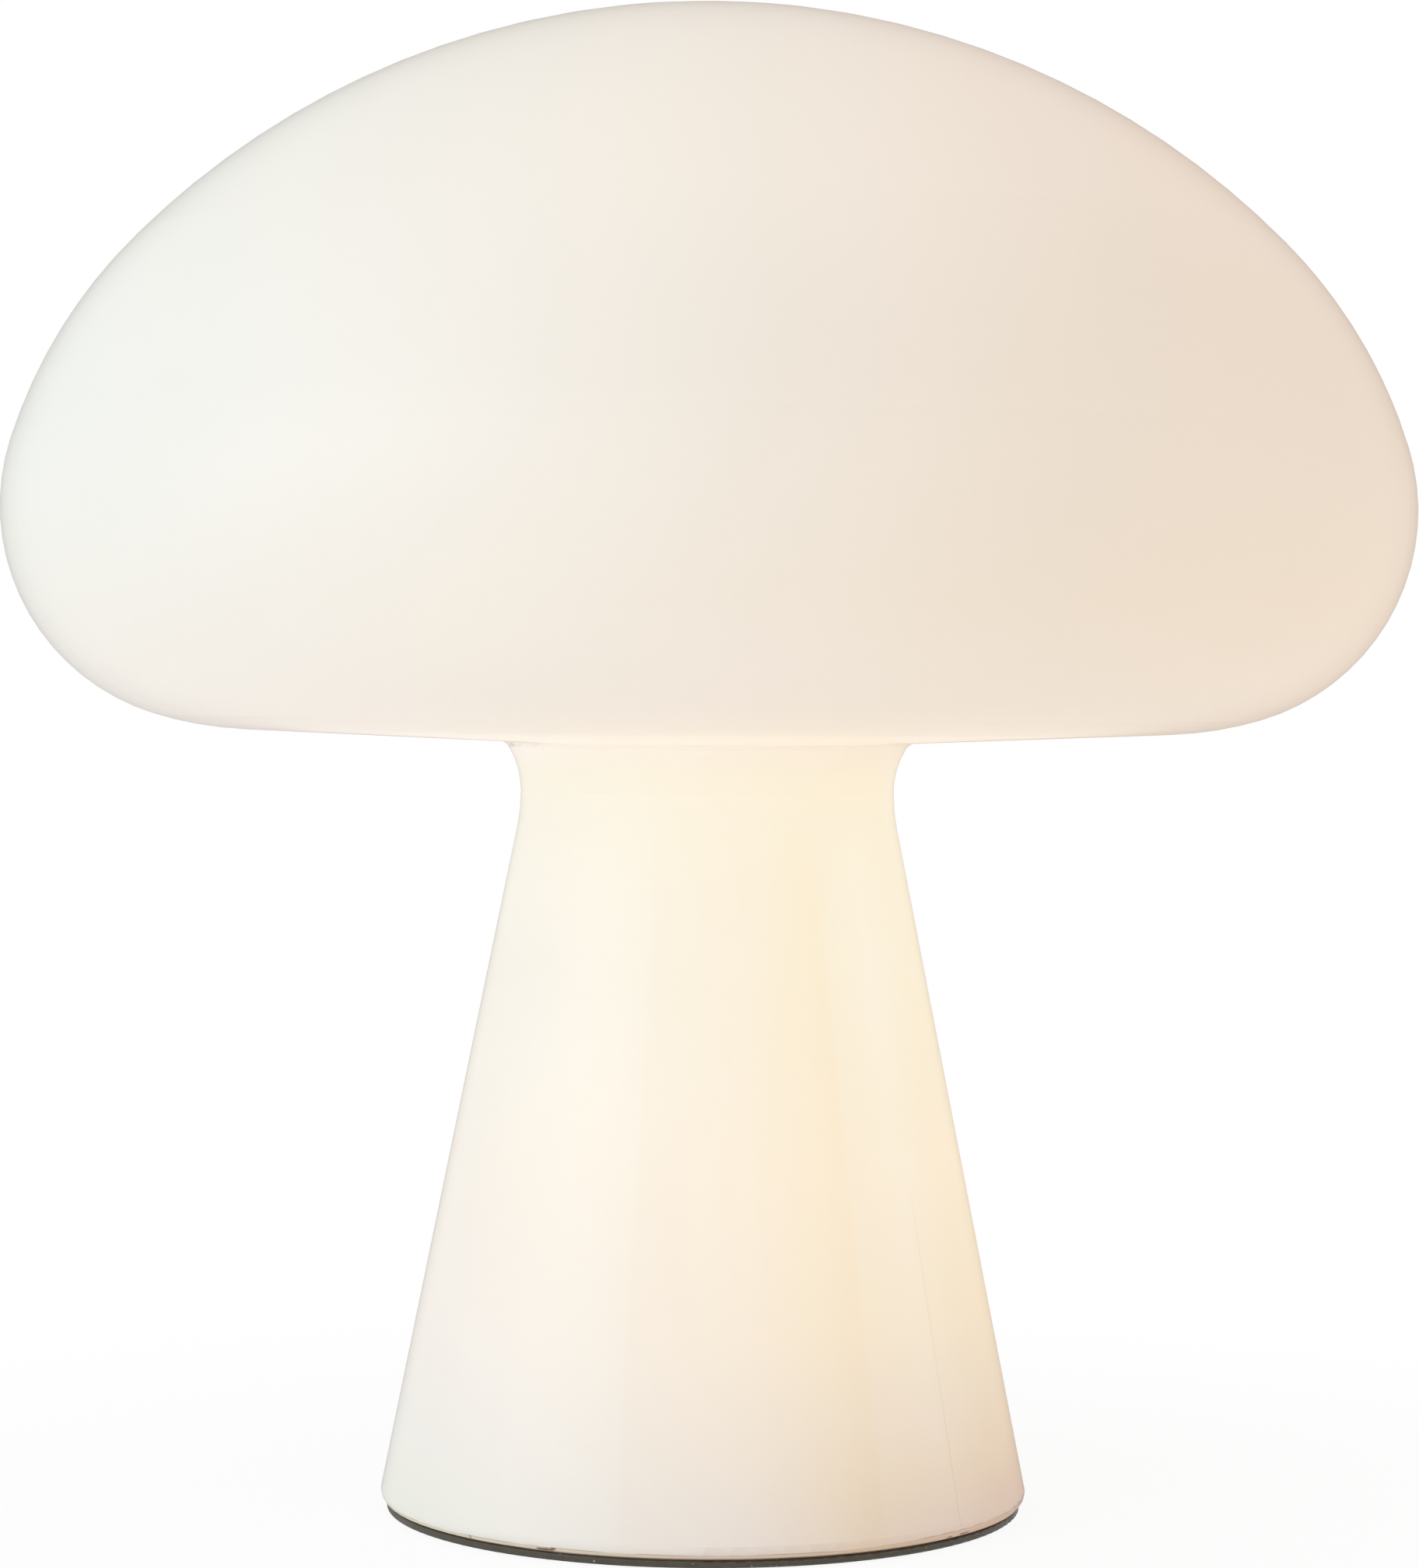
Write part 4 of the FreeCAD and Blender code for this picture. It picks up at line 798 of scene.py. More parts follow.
        # Painted light and shade: the side towards +X takes warmer, stronger colours than the
        # side towards -X.
        light = wiring.mix(side, left, right)
        column = wiring.node("CombineXYZ", {
            "X": wiring.maths("SINE", at.turn), "Y": wiring.maths("COSINE", at.turn),
            "Z": wiring.maths("MULTIPLY", at.height, self.streak_rise)}).outputs[0]
        streak = wiring.noise(column, self.streak_scale, detail=3.0, roughness=0.6)
        on_stem = wiring.span(at.height, *self.streak_height)
        strength = wiring.maths("MULTIPLY", wiring.maths("SUBTRACT", streak, 0.5),
                                self.streak_share)
        factor = wiring.maths("MULTIPLY_ADD", strength, on_stem, 1.0)
        warmth = wiring.span(wiring.noise(at.place, self.warmth_scale, detail=2.0),
                             *self.warmth_edges)
        tint = wiring.mix(warmth, rgba(self.warm_light), rgba(self.cool_light))
        tinted = wiring.mix(1.0, light, tint, blend="MULTIPLY")
        return wiring.node("VectorMath", {0: tinted, "Scale": factor},
                           operation="SCALE").outputs[0]


@dataclass(frozen=True)
class TexturedPaint(Grained):
    """Dark powder coat with a fine texture, light flecks and rubbed edges."""

    colour: Colour = (0.044, 0.038, 0.024)
    second: Colour = (0.068, 0.060, 0.041)
    roughness: float = 0.55
    roughness_spread: float = 0.16
    cloud_scale: float = 260.0
    grain_scale: float = 2400.0
    grain_depth: float = 0.00006
    grain_strength: float = 0.7
    bare: Colour = (0.30, 0.27, 0.22)
    wear_reach: float = 0.00025
    wear_amount: float = 0.45
    wear_scale: float = 700.0
    fleck: Colour = (0.42, 0.40, 0.35)
    fleck_share: float = 0.05
    fleck_scale: float = 1300.0
    fleck_size: float = 0.34

    def wire(self, batch: Batch) -> None:
        """Feed the coat's colour with flecks and bare edges, and its texture.

        Args:
            batch: The material in the making.
        """
        flecks = batch.effect("flecks", Scale=self.fleck_scale, Share=self.fleck_share,
                              Size=self.fleck_size)
        wear = batch.effect("edge_wear", Reach=self.wear_reach, Amount=self.wear_amount,
                            Scale=self.wear_scale)
        flecked = batch.wiring.mix(flecks["Mask"], self._cloud(batch), rgba(self.fleck))
        batch.feed(Base_Color=batch.wiring.mix(wear["Mask"], flecked, rgba(self.bare)))
        self._grain(batch)


@dataclass(frozen=True)
class Silicone(Grained):
    """Soft silicone, clear or dyed."""

    roughness: float = 0.45
    roughness_spread: float = 0.12
    cloud_scale: float = 180.0
    grain_scale: float = 1800.0
    grain_depth: float = 0.00002
    grain_strength: float = 0.4
    softness: float = 0.0
    soft_reach: Colour = (0.001, 0.0007, 0.0005)

    def wire(self, batch: Batch) -> None:
        """Feed the colour, the skin and how far light goes in.

        Args:
            batch: The material in the making.
        """
        self._cloud(batch)
        self._grain(batch)
        batch.feed(Subsurface_Weight=self.softness, Subsurface_Radius=self.soft_reach)


@dataclass(frozen=True)
class Moulding(Grained):
    """Moulded plastic with a fine spark-eroded skin."""

    glow: float = 0.0

    def wire(self, batch: Batch) -> None:
        """Feed the colour, the skin and, for lit parts, their glow.

        Args:
            batch: The material in the making.
        """
        colour = self._cloud(batch)
        self._grain(batch)
        if self.glow:
            batch.feed(Emission_Color=colour, Emission_Strength=self.glow)


@dataclass(frozen=True)
class WorkedMetal(Clouded):
    """Bare or plated metal with the marks of how it was worked."""

    roughness: float = 0.32
    roughness_spread: float = 0.18
    cloud_scale: float = 320.0
    along: Axis = Axis.Z
    mark_scale: float = 70.0
    mark_depth: float = 0.00001

    def wire(self, batch: Batch) -> None:
        """Feed the stained metal and its marks.

        Args:
            batch: The material in the making.
        """
        self._cloud(batch)
        marks = batch.effect("strokes", Along=rgba(self.along.value), Scale=self.mark_scale,
                             Depth=self.mark_depth, Roughness=self.roughness,
                             Spread=self.roughness_spread)
        batch.feed(Roughness=marks["Roughness"], Normal=marks["Normal"], Metallic=1.0)


@dataclass(frozen=True)
class SolderMask(Finish):
    """Circuit board: lacquer over copper tracks, with bare solder pads."""

    colour: Colour
    track: Colour
    pad: Colour = (0.62, 0.60, 0.55)
    track_scale: float = 260.0
    track_edge: tuple[float, float] = (0.16, 0.10)
    pad_scale: float = 420.0
    pad_share: float = 0.16
    pad_size: float = 0.26
    lacquer_roughness: float = 0.28
    pad_roughness: float = 0.42
    relief_depth: float = 0.00004
    relief_strength: float = 0.4

    def wire(self, batch: Batch) -> None:
        """Feed the tracks and pads, which stand a little proud of the board.

        Args:
            batch: The material in the making.
        """
        wiring = batch.wiring
        nearest, second = (
            wiring.node("TexVoronoi", {"Vector": wiring.place(), "Scale": self.track_scale},
                        feature=feature, distance="CHEBYCHEV").outputs["Distance"]
            for feature in ("F1", "F2"))
        track = wiring.span(wiring.maths("SUBTRACT", second, nearest), *self.track_edge)
        pads = batch.effect("flecks", Scale=self.pad_scale, Share=self.pad_share,
                            Size=self.pad_size)["Mask"]
        lacquer = wiring.mix(track, rgba(self.colour), rgba(self.track))
        bump = wiring.node("Bump", {
            "Strength": self.relief_strength, "Distance": self.relief_depth,
            "Height": wiring.maths("ADD", track, pads)})
        batch.feed(Base_Color=wiring.mix(pads, lacquer, rgba(self.pad)),
                   Roughness=wiring.span(pads, 0.0, 1.0, self.lacquer_roughness,
                                         self.pad_roughness),
                   Normal=bump.outputs["Normal"])


@dataclass(frozen=True, kw_only=True)
class ShrinkWrap(Clouded):
    """Glossy shrink film on a round cell, rolled over bare steel at both ends."""

    low: float
    high: float
    name: str = "cell_wrap"
    colour: Colour = (0.055, 0.220, 0.290)
    second: Colour = (0.070, 0.260, 0.330)
    roughness: float = 0.24
    roughness_spread: float = 0.08
    cloud_scale: float = 60.0
    steel: Colour = (0.62, 0.61, 0.59)
    turned_in: float = 0.0012
    crease_scale: float = 500.0
    crease_depth: float = 0.0001
    crease_strength: float = 0.3

    def wire(self, batch: Batch) -> None:
        """Feed the film, the bare ends and the creases where the film was shrunk over them.

        Args:
            batch: The material in the making.
        """
        wiring = batch.wiring
        height = wiring.node("SeparateXYZ", {0: wiring.place()}).outputs["Z"]
        middle = (self.low + self.high) / 2
        reach = (self.high - self.low) / 2
        away = wiring.maths("ABSOLUTE", wiring.maths("SUBTRACT", height, middle))
        bare = wiring.maths("GREATER_THAN", away, reach - self.turned_in / 4)
        crease = wiring.noise(wiring.place(), self.crease_scale, detail=2.0)
        edge = wiring.span(away, reach - 3 * self.turned_in, reach)
        bump = wiring.node("Bump", {
            "Strength": self.crease_strength, "Distance": self.crease_depth,
            "Height": wiring.maths("MULTIPLY", crease, edge)})
        batch.feed(Base_Color=wiring.mix(bare, self._cloud(batch), rgba(self.steel)),
                   Metallic=bare, Normal=bump.outputs["Normal"])


@dataclass(frozen=True)
class ClearPlastic(Clouded):
    """Clear moulded plastic that leads light."""

    colour: Colour = (0.90, 0.93, 0.93)
    second: Colour = (0.84, 0.88, 0.88)
    roughness: float = 0.12
    roughness_spread: float = 0.06
    cloud_scale: float = 400.0
    clearness: float = 0.9
    refraction: float = 1.49

    def wire(self, batch: Batch) -> None:
        """Feed the colour and let light through."""
        self._cloud(batch)
        batch.feed(Transmission_Weight=self.clearness, IOR=self.refraction)


class FinishShelf:
    """Builds each finish once and hands its material out."""

    def __init__(self, effects: Effects) -> None:
        """Hold the shared groups."""
        self.effects = effects
        self.made: dict[str, bpy.types.Material] = {}

    def material(self, finish: Finish) -> bpy.types.Material:
        """The material of a finish, made on first use.

        Args:
            finish: The finish.

        Returns:
            Its material.
        """
        if finish.name not in self.made:
            self.made[finish.name] = finish.build(self.effects)
        return self.made[finish.name]

    def dress(self, piece: bpy.types.Object, finish: Finish) -> None:
        """Give a piece one finish all over, and report it.

        Args:
            piece: The piece.
            finish: Its finish.
        """
        piece.data.materials.clear()
        piece.data.materials.append(self.material(finish))
        LOG.info("%s: %s", piece.name, finish.name)


class Skin:
    """Collects lofted shapes into one mesh."""

    def __init__(self) -> None:
        """Start empty."""
        self.points: list[Point] = []
        self.faces: list[tuple[int, ...]] = []

    def loft(self, rings: list[list[Point]]) -> None:
        """Skin a row of closed rings and cap both ends.

        Args:
            rings: Rings of the same number of points, each anticlockwise seen from the last one.
        """
        first, count = len(self.points), len(rings[0])
        for ring in rings:
            self.points.extend(ring)
        for row in range(len(rings) - 1):
            low = first + row * count
            for step in range(count):
                after = (step + 1) % count
                self.faces.append((low + step, low + after, low + count + after,
                                   low + count + step))
        self.faces.append(tuple(first + step for step in reversed(range(count))))
        last = first + (len(rings) - 1) * count
        self.faces.append(tuple(last + step for step in range(count)))

    def finish(self, name: str, body: Body, slot: str) -> bpy.types.Object:
        """Make the piece.

        Args:
            name: Its name.
            body: The body that it moves with.
            slot: The name of a material slot; not used.

        Returns:
            The piece.
        """
        mesh = bpy.data.meshes.new(name)
        mesh.from_pydata(self.points, [], self.faces)
        mesh.validate()
        mesh.shade_smooth()
        mesh.set_sharp_from_angle(angle=SHARP_ANGLE)
        piece = bpy.data.objects.new(name, mesh)
        bpy.context.scene.collection.objects.link(piece)
        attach(piece, body.value)
        return piece


@dataclass(frozen=True)
class ScrewRing:
    """Like machine screws on one circle, each with a rolled thread and a hexagon socket.

    The places along a screw are heights: of its crown, of the seat under its head and of its
    tip. A field whose name ends in share is a part of the head's height or radius, or of the
    thread's pitch or depth.
    """

    node: str
    circle: float
    turns: tuple[float, ...]
    shank: float
    head: float
    crown: float
    seat: float
    tip: float
    pitch: float
    sides: int = 36
    rings_per_turn: int = 5
    crest_share: float = 0.99
    depth_share: float = 0.55
    flank_share: float = 0.85
    tip_share: float = 1.4
    taper_share: float = 0.6
    neck_share: float = 0.4
    chamfer_share: float = 0.06
    socket_depth_share: float = 0.60
    socket_share: float = 0.45
    mouth_share: float = 1.10
    dimple_share: float = 0.2
    dimple_depth_share: float = 0.05
    round_share: float = 0.38
    round_steps: int = 4

    def build(self) -> bpy.types.Object:
        """Make the screws in the place of the plain ones.

        Returns:
            The screws, as one piece.
        """
        skin = Skin()
        rings = self._rings()
        way = 1.0 if self.crown > self.tip else -1.0
        for turn in self.turns:
            cos, sin = math.cos(math.radians(turn)), math.sin(math.radians(turn))
            skin.loft([[(cos * (self.circle + x) - sin * y * way,
                         sin * (self.circle + x) + cos * y * way,
                         self.tip + along * way) for x, y, along in ring] for ring in rings])
        screws = skin.finish(f"threaded_{self.node}", Body.LAMP, ZINC.name)
        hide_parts(self.node)
        return screws

    def _rings(self) -> list[list[Point]]:
        """One screw along its own axis, from the tip to the floor of its socket.

        Returns:
            Its rings.
        """
        crest, depth = self.shank * self.crest_share, self.pitch * self.depth_share
        seat, crown = abs(self.seat - self.tip), abs(self.crown - self.tip)
        step = self.pitch / self.rings_per_turn
        run = int((seat - self.pitch) / step)
        rings = [self._round(crest - self.tip_share * depth, 0.0)]
        for number in range(1, run + 1):
            along = number * step
            taper = max(0.0, 1.0 - along / self.pitch) * depth * self.taper_share
            rings.append([self._thread_point(turn, along, crest - taper, depth)
                          for turn in self._turns()])
        rings.append(self._round(crest - depth / 2, seat - self.pitch * self.neck_share))
        high = crown - seat
        bend, chamfer = high * self.round_share, high * self.chamfer_share
        for radius, along in ((crest - depth / 2, seat), (self.head - chamfer, seat),
                              (self.head, seat + chamfer), (self.head, crown - bend)):
            rings.append(self._round(radius, along))
        for number in range(1, self.round_steps + 1):
            angle = math.pi / 2 * number / self.round_steps
            rings.append(self._round(self.head - bend * (1 - math.cos(angle)),
                                     crown - bend * (1 - math.sin(angle))))
        socket = self.head * self.socket_share
        floor = crown - high * self.socket_depth_share
        rings.append(self._round(socket * self.mouth_share, crown))
        rings.append(self._hexagon(socket, crown - chamfer))
        rings.append(self._hexagon(socket, floor))
        rings.append(self._round(socket * self.dimple_share,
                                 floor - high * self.dimple_depth_share))
        return rings

    def _turns(self) -> list[float]:
        """The turn of each point of a ring, in radians."""
        return [math.tau * side / self.sides for side in range(self.sides)]

    def _round(self, radius: float, along: float) -> list[Point]:
        """A round ring."""
        return [(radius * math.cos(t), radius * math.sin(t), along) for t in self._turns()]

    def _hexagon(self, radius: float, along: float) -> list[Point]:
        """A ring on a hexagon with this radius at its corners."""
        side, flat = math.pi / 3, radius * math.cos(math.pi / 6)
        return [(flat / math.cos(t % side - side / 2) * math.cos(t),
                 flat / math.cos(t % side - side / 2) * math.sin(t), along)
                for t in self._turns()]

    def _thread_point(self, turn: float, along: float, crest: float, depth: float) -> Point:
        """A point of the thread, which has a sharp root and a flat crest.

        Args:
            turn: The point's turn round the screw, in radians.
            along: Its distance from the tip.
            crest: The crest's radius there.
            depth: The thread's depth.

        Returns:
            The point.
        """
        phase = (along / self.pitch - turn / math.tau) % 1.0
        drop = max(0.0, 1.0 - abs(phase - 0.5) * 2 / self.flank_share)
        radius = crest - depth * drop
        return radius * math.cos(turn), radius * math.sin(turn), along


@dataclass(frozen=True)
class SubAssembly:
    """A group of the lamp's pieces that are built and dressed together."""

    finishes: ClassVar[dict[str, Finish]] = {}

    def build(self, frame: dict, shelf: FinishShelf) -> None:
        """Dress every piece of the group.

        Args:
            frame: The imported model.
            shelf: Where finishes come from.
        """
        for name, finish in self.finishes.items():
            shelf.dress(frame["nodes"][name], finish)


CLEAR_SILICONE = Silicone("clear_silicone", (0.62, 0.50, 0.40), (0.74, 0.64, 0.55),
                          roughness=0.28, softness=0.3)
DARK_SILICONE = Silicone("dark_silicone", (0.030, 0.030, 0.031), (0.045, 0.044, 0.043),
                         roughness=0.62, grain_depth=0.00004)
PAINT = TexturedPaint("textured_dark_paint")
ZINC = WorkedMetal("zinc_steel", (0.62, 0.63, 0.64), (0.52, 0.53, 0.55), roughness=0.34)
NICKEL = WorkedMetal("nickel_strip", (0.66, 0.63, 0.58), (0.58, 0.55, 0.50), roughness=0.28,
                     along=Axis.X)
SPRING_WIRE = WorkedMetal("spring_steel", (0.50, 0.50, 0.51), (0.38, 0.38, 0.40), roughness=0.3)
PORT_STEEL = WorkedMetal("port_steel", (0.76, 0.76, 0.77), (0.70, 0.70, 0.71), roughness=0.2,
                         along=Axis.X)
BRASS = WorkedMetal("brass_posts", (0.74, 0.55, 0.26), (0.62, 0.45, 0.20), roughness=0.26)
MILLED = WorkedMetal("milled_aluminium", (0.78, 0.78, 0.79), (0.70, 0.70, 0.72), roughness=0.36)
WHITE_PLASTIC = Moulding("white_housing_plastic", (0.86, 0.86, 0.84), (0.83, 0.82, 0.79))
GREY_PLASTIC = Moulding("spacer_grey", (0.20, 0.21, 0.22), (0.24, 0.25, 0.26))
BLACK_PLASTIC = Moulding("black_plastic", (0.025, 0.025, 0.026), (0.035, 0.035, 0.036))
COMPONENT = Moulding("component_black", (0.045, 0.045, 0.048), (0.06, 0.06, 0.064),
                     roughness=0.42)
IVORY = Moulding("connector_ivory", (0.80, 0.74, 0.60), (0.74, 0.67, 0.53))
FROSTED = Moulding("frosted_plastic", (0.93, 0.88, 0.79), (0.96, 0.91, 0.82), glow=0.6)
CERAMIC = Moulding("light_chip", (0.84, 0.83, 0.79), (0.80, 0.79, 0.74), roughness=0.38)
PHOSPHOR = Moulding("chip_gel", (0.90, 0.66, 0.20), (0.96, 0.76, 0.30), roughness=0.18,
                    glow=0.8)
RED_WIRE = Silicone("red_wire", (0.50, 0.030, 0.022), (0.42, 0.025, 0.020), roughness=0.4)
WHITE_WIRE = Silicone("white_wire", (0.82, 0.82, 0.80), (0.76, 0.75, 0.72), roughness=0.4)
GREEN_BOARD = SolderMask("board_green", (0.012, 0.120, 0.050), (0.020, 0.190, 0.080))
WHITE_BOARD = SolderMask("board_white", (0.84, 0.84, 0.82), (0.78, 0.78, 0.75))
BUTTON_PAINT = TexturedPaint("button_metal", colour=(0.085, 0.080, 0.068),
                             second=(0.105, 0.098, 0.084), roughness=0.42, grain_scale=3600.0,
                             grain_depth=0.00002, fleck_share=0.01)
CLEAR_PIN = ClearPlastic("clear_plastic")


@dataclass(frozen=True)
class GlassAndBase(SubAssembly):
    """The glass, what it stands on and what holds it down."""

    clamp_screws: ScrewRing = ScrewRing(
        "clamp_screws", circle=0.0340, turns=(30.0, 150.0, 270.0), shank=0.0020, head=0.0037,
        crown=0.0006, seat=0.0029, tip=0.0125, pitch=0.0007)
    housing_screws: ScrewRing = ScrewRing(
        "housing_screws", circle=0.0272, turns=(0.0, 120.0, 240.0), shank=0.00145, head=0.0029,
        crown=0.0006, seat=0.0025, tip=0.0130, pitch=0.0005)

    finishes: ClassVar[dict[str, Finish]] = {
        "glass_body": OpalGlass(),
        "glass_gasket": CLEAR_SILICONE,
        "base_plate": PAINT,
        "foot_pad": DARK_SILICONE,
        "clamp_claws": ZINC,
        "claw_pads": DARK_SILICONE,
    }

    def build(self, frame: dict, shelf: FinishShelf) -> None:
        """Dress the group and put the threaded screws in.

        Args:
            frame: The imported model.
            shelf: Where finishes come from.
        """
        super().build(frame, shelf)
        for screws in (self.clamp_screws, self.housing_screws):
            shelf.dress(screws.build(), ZINC)


@dataclass(frozen=True)
class SwitchAndPort(SubAssembly):
    """What the user meets on the underside, and the switch behind it."""

    contact_count: int = 12
    contact_pitch: float = 0.0005
    contact_width: float = 0.00026
    contact_lift: float = 0.00004
    contact_low: float = 0.0068
    contact_high: float = 0.0112
    contact_profile: tuple[tuple[float, float], ...] = ((0.0, 0.0), (0.6, 0.0), (1.0, 0.25))
    tongue_middle: float = 0.0145
    tongue_half: float = 0.00035
    coil_radius: float = 0.0052
    wire_radius: float = 0.00035
    coil_low: float = 0.00665
    coil_high: float = 0.01165
    coil_turns: float = 4.5
    closed_turns: float = 0.8
    closed_rise: float = 0.00045
    wire_sides: int = 12
    steps_per_turn: int = 36
    travel: float = 0.0012

    finishes: ClassVar[dict[str, Finish]] = {
        "push_button": BUTTON_PAINT,
        "switch_plunger": BLACK_PLASTIC,
        "push_switch": BLACK_PLASTIC,
        "charging_port": PORT_STEEL,
        "indicator_light_pipe": CLEAR_PIN,
    }

    def build(self, frame: dict, shelf: FinishShelf) -> None:
        """Dress the group, wind the spring and lay the port's contacts on its tongue.

        Args:
            frame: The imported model.
            shelf: Where finishes come from.
        """
        super().build(frame, shelf)
        shelf.dress(self._spring(), SPRING_WIRE)
        shelf.dress(self._contacts(), BRASS)

    def _spring(self) -> bpy.types.Object:
        """Wind the return spring, closed at both ends, in one shape that stays as the button
        goes in.

        Returns:
            The spring.
        """
        skin = Skin()
        steps = round(self.coil_turns * self.steps_per_turn)
        skin.loft([self._wire_ring(self.coil_turns * step / steps) for step in range(steps + 1)])
        spring = skin.finish("return_spring", Body.LAMP, SPRING_WIRE.name)
        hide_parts("button_spring")
        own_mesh(spring)
        return spring

    def _wire_ring(self, turns: float) -> list[Point]:
        """The wire's section at one place of the coil.

        Args:
            turns: How many turns it is from the button's end.

        Returns:
            A ring of points.
        """
        open_turns = self.coil_turns - 2 * self.closed_turns
        open_rise = self.coil_high - self.coil_low - 2 * self.closed_rise
        low = min(turns, self.closed_turns) / self.closed_turns * self.closed_rise
        middle = min(max(turns - self.closed_turns, 0.0), open_turns) / open_turns * open_rise
        top = max(turns - self.closed_turns - open_turns, 0.0) / self.closed_turns
        height = self.coil_low + low + middle + top * self.closed_rise
        cos, sin = math.cos(math.tau * turns), math.sin(math.tau * turns)
        ring = []
        for side in range(self.wire_sides):
            angle = math.tau * side / self.wire_sides
            out = self.coil_radius + self.wire_radius * math.cos(angle)
            ring.append((out * cos, out * sin, height - self.wire_radius * math.sin(angle)))
        return ring

    def _contacts(self) -> bpy.types.Object:
        """Lay a row of contacts on both faces of the port's tongue.

        Returns:
            The contacts, as one piece.
        """
        skin = Skin()
        middle = (self.contact_count - 1) / 2
        for side in (-1.0, 1.0):
            for number in range(self.contact_count):
                skin.loft(self._contact((number - middle) * self.contact_pitch, side))
        return skin.finish("port_contacts", Body.LAMP, BRASS.name)

    def _contact(self, x: float, side: float) -> list[list[Point]]:
        """One contact as rings from its foot on the tongue to its face.

        Args:
            x: Its place across the tongue.
            side: -1 or 1, the face of the tongue.

        Returns:
            The rings.
        """
        rings = []
        for lift, inset in self.contact_profile:
            half = self.contact_width / 2 * (1 - inset)
            end = self.contact_width * inset
            y = self.tongue_middle + side * (self.tongue_half + lift * self.contact_lift)
            low, high = self.contact_low + end, self.contact_high - end
            ring = [(x - half, y, low), (x + half, y, low), (x + half, y, high),
                    (x - half, y, high)]
            rings.append(ring if side < 0 else ring[::-1])
        return rings


@dataclass(frozen=True)
class PowerUnit(SubAssembly):
    """Cells, board and the column that they stand in."""

    board_screws: ScrewRing = ScrewRing(
        "board_screws", circle=0.0162, turns=(50.0, 130.0, 230.0, 310.0), shank=0.0012,
        head=0.0022, crown=0.0150, seat=0.0136, tip=0.0070, pitch=0.00045)

    finishes: ClassVar[dict[str, Finish]] = {
        "unit_housing": WHITE_PLASTIC,
        "control_board": GREEN_BOARD,
        "board_standoffs": BRASS,
        "board_components": COMPONENT,
        "wire_connectors": IVORY,
        "lower_cell_spacer": GREY_PLASTIC,
        "upper_cell_spacer": GREY_PLASTIC,
        "cell_tabs": NICKEL,
        "battery_lead": RED_WIRE,
    }

    def build(self, frame: dict, shelf: FinishShelf) -> None:
        """Dress every piece, with the cells' film ending where the cells end.

        Args:
            frame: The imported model.
            shelf: Where finishes come from.
        """
        super().build(frame, shelf)
        shelf.dress(self.board_screws.build(), ZINC)
        low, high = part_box("battery_cells")
        shelf.dress(frame["nodes"]["battery_cells"], ShrinkWrap(low=low.z, high=high.z))


@dataclass(frozen=True)
class LightUnit(SubAssembly):
    """The light source at the neck's height and the bell over it."""

    post_screws: ScrewRing = ScrewRing(
        "post_screws", circle=0.0124, turns=(30.0, 270.0), shank=0.0012, head=0.0022,
        crown=0.0974, seat=0.0960, tip=0.0910, pitch=0.00045)
    board_turns: tuple[float, ...] = (60.0, 150.0, 240.0, 330.0)
    side_face: float = 0.0089
    top_face: float = 0.1129
    top_circle: float = 0.0040
    highest_chip: float = 0.1088
    chip_pitch: float = 0.0040
    chip_rows: int = 3
    gel_radius: float = 0.00120
    gel_height: float = 0.00035
    gel_sides: int = 24
    gel_steps: int = 5

    finishes: ClassVar[dict[str, Finish]] = {
        "led_post": MILLED,
        "led_side_boards": WHITE_BOARD,
        "led_top_board": WHITE_BOARD,
        "led_chips": CERAMIC,
        "diffuser_dome": FROSTED,
        "led_lead": WHITE_WIRE,
        "lead_grommet": DARK_SILICONE,
    }

    def build(self, frame: dict, shelf: FinishShelf) -> None:
        """Dress the group, put its screws in and set the gel on every chip.

        Args:
            frame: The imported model.
            shelf: Where finishes come from.
        """
        super().build(frame, shelf)
        shelf.dress(self.post_screws.build(), ZINC)
        shelf.dress(self._gels(), PHOSPHOR)

    def _gels(self) -> bpy.types.Object:
        """Set a drop of phosphor gel on each chip.

        Returns:
            The drops, as one piece.
        """
        skin = Skin()
        up = Vector((0.0, 0.0, 1.0))
        for turn in self.board_turns:
            out = Vector((math.cos(math.radians(turn)), math.sin(math.radians(turn)), 0.0))
            across = Vector((-out.y, out.x, 0.0))
            for row in range(self.chip_rows):
                middle = out * self.side_face + up * (self.highest_chip - row * self.chip_pitch)
                skin.loft(self._drop(middle, across, up, out))
            skin.loft(self._drop(out * self.top_circle + up * self.top_face, out, across, up))
        return skin.finish("chip_gels", Body.LAMP, CERAMIC.name)

    def _drop(self, middle: Vector, first: Vector, second: Vector,
              out: Vector) -> list[list[Point]]:
        """A shallow drop on a flat face, as rings from its foot to its top.

        Args:
            middle: The middle of its foot.
            first: A direction in the face.
            second: The direction in the face a quarter turn on.
            out: The direction away from the face.

        Returns:
            The rings.
        """
        rings = []
        for step in range(self.gel_steps):
            angle = math.pi / 2 * step / self.gel_steps
            radius, rise = self.gel_radius * math.cos(angle), self.gel_height * math.sin(angle)
            turns = [math.tau * side / self.gel_sides for side in range(self.gel_sides)]
            rings.append([tuple(middle + first * (radius * math.cos(t))
                                + second * (radius * math.sin(t)) + out * rise) for t in turns])
        return rings


@dataclass(frozen=True)
class SoftBox:
    """A square studio lamp aimed at the object."""

    name: str
    place: Point
    aim: Point
    side: float
    power: float
    colour: Colour

    def build(self) -> None:
        """Make the lamp and aim it."""
        data = bpy.data.lights.new(self.name, "AREA")
        data.shape = "SQUARE"
        data.size = self.side
        data.energy = self.power
        data.color = self.colour
        lamp = bpy.data.objects.new(self.name, data)
        bpy.context.scene.collection.objects.link(lamp)
        lamp.location = self.place
        aim = Vector(self.aim) - Vector(self.place)
        lamp.rotation_euler = aim.to_track_quat("-Z", "Y").to_euler()


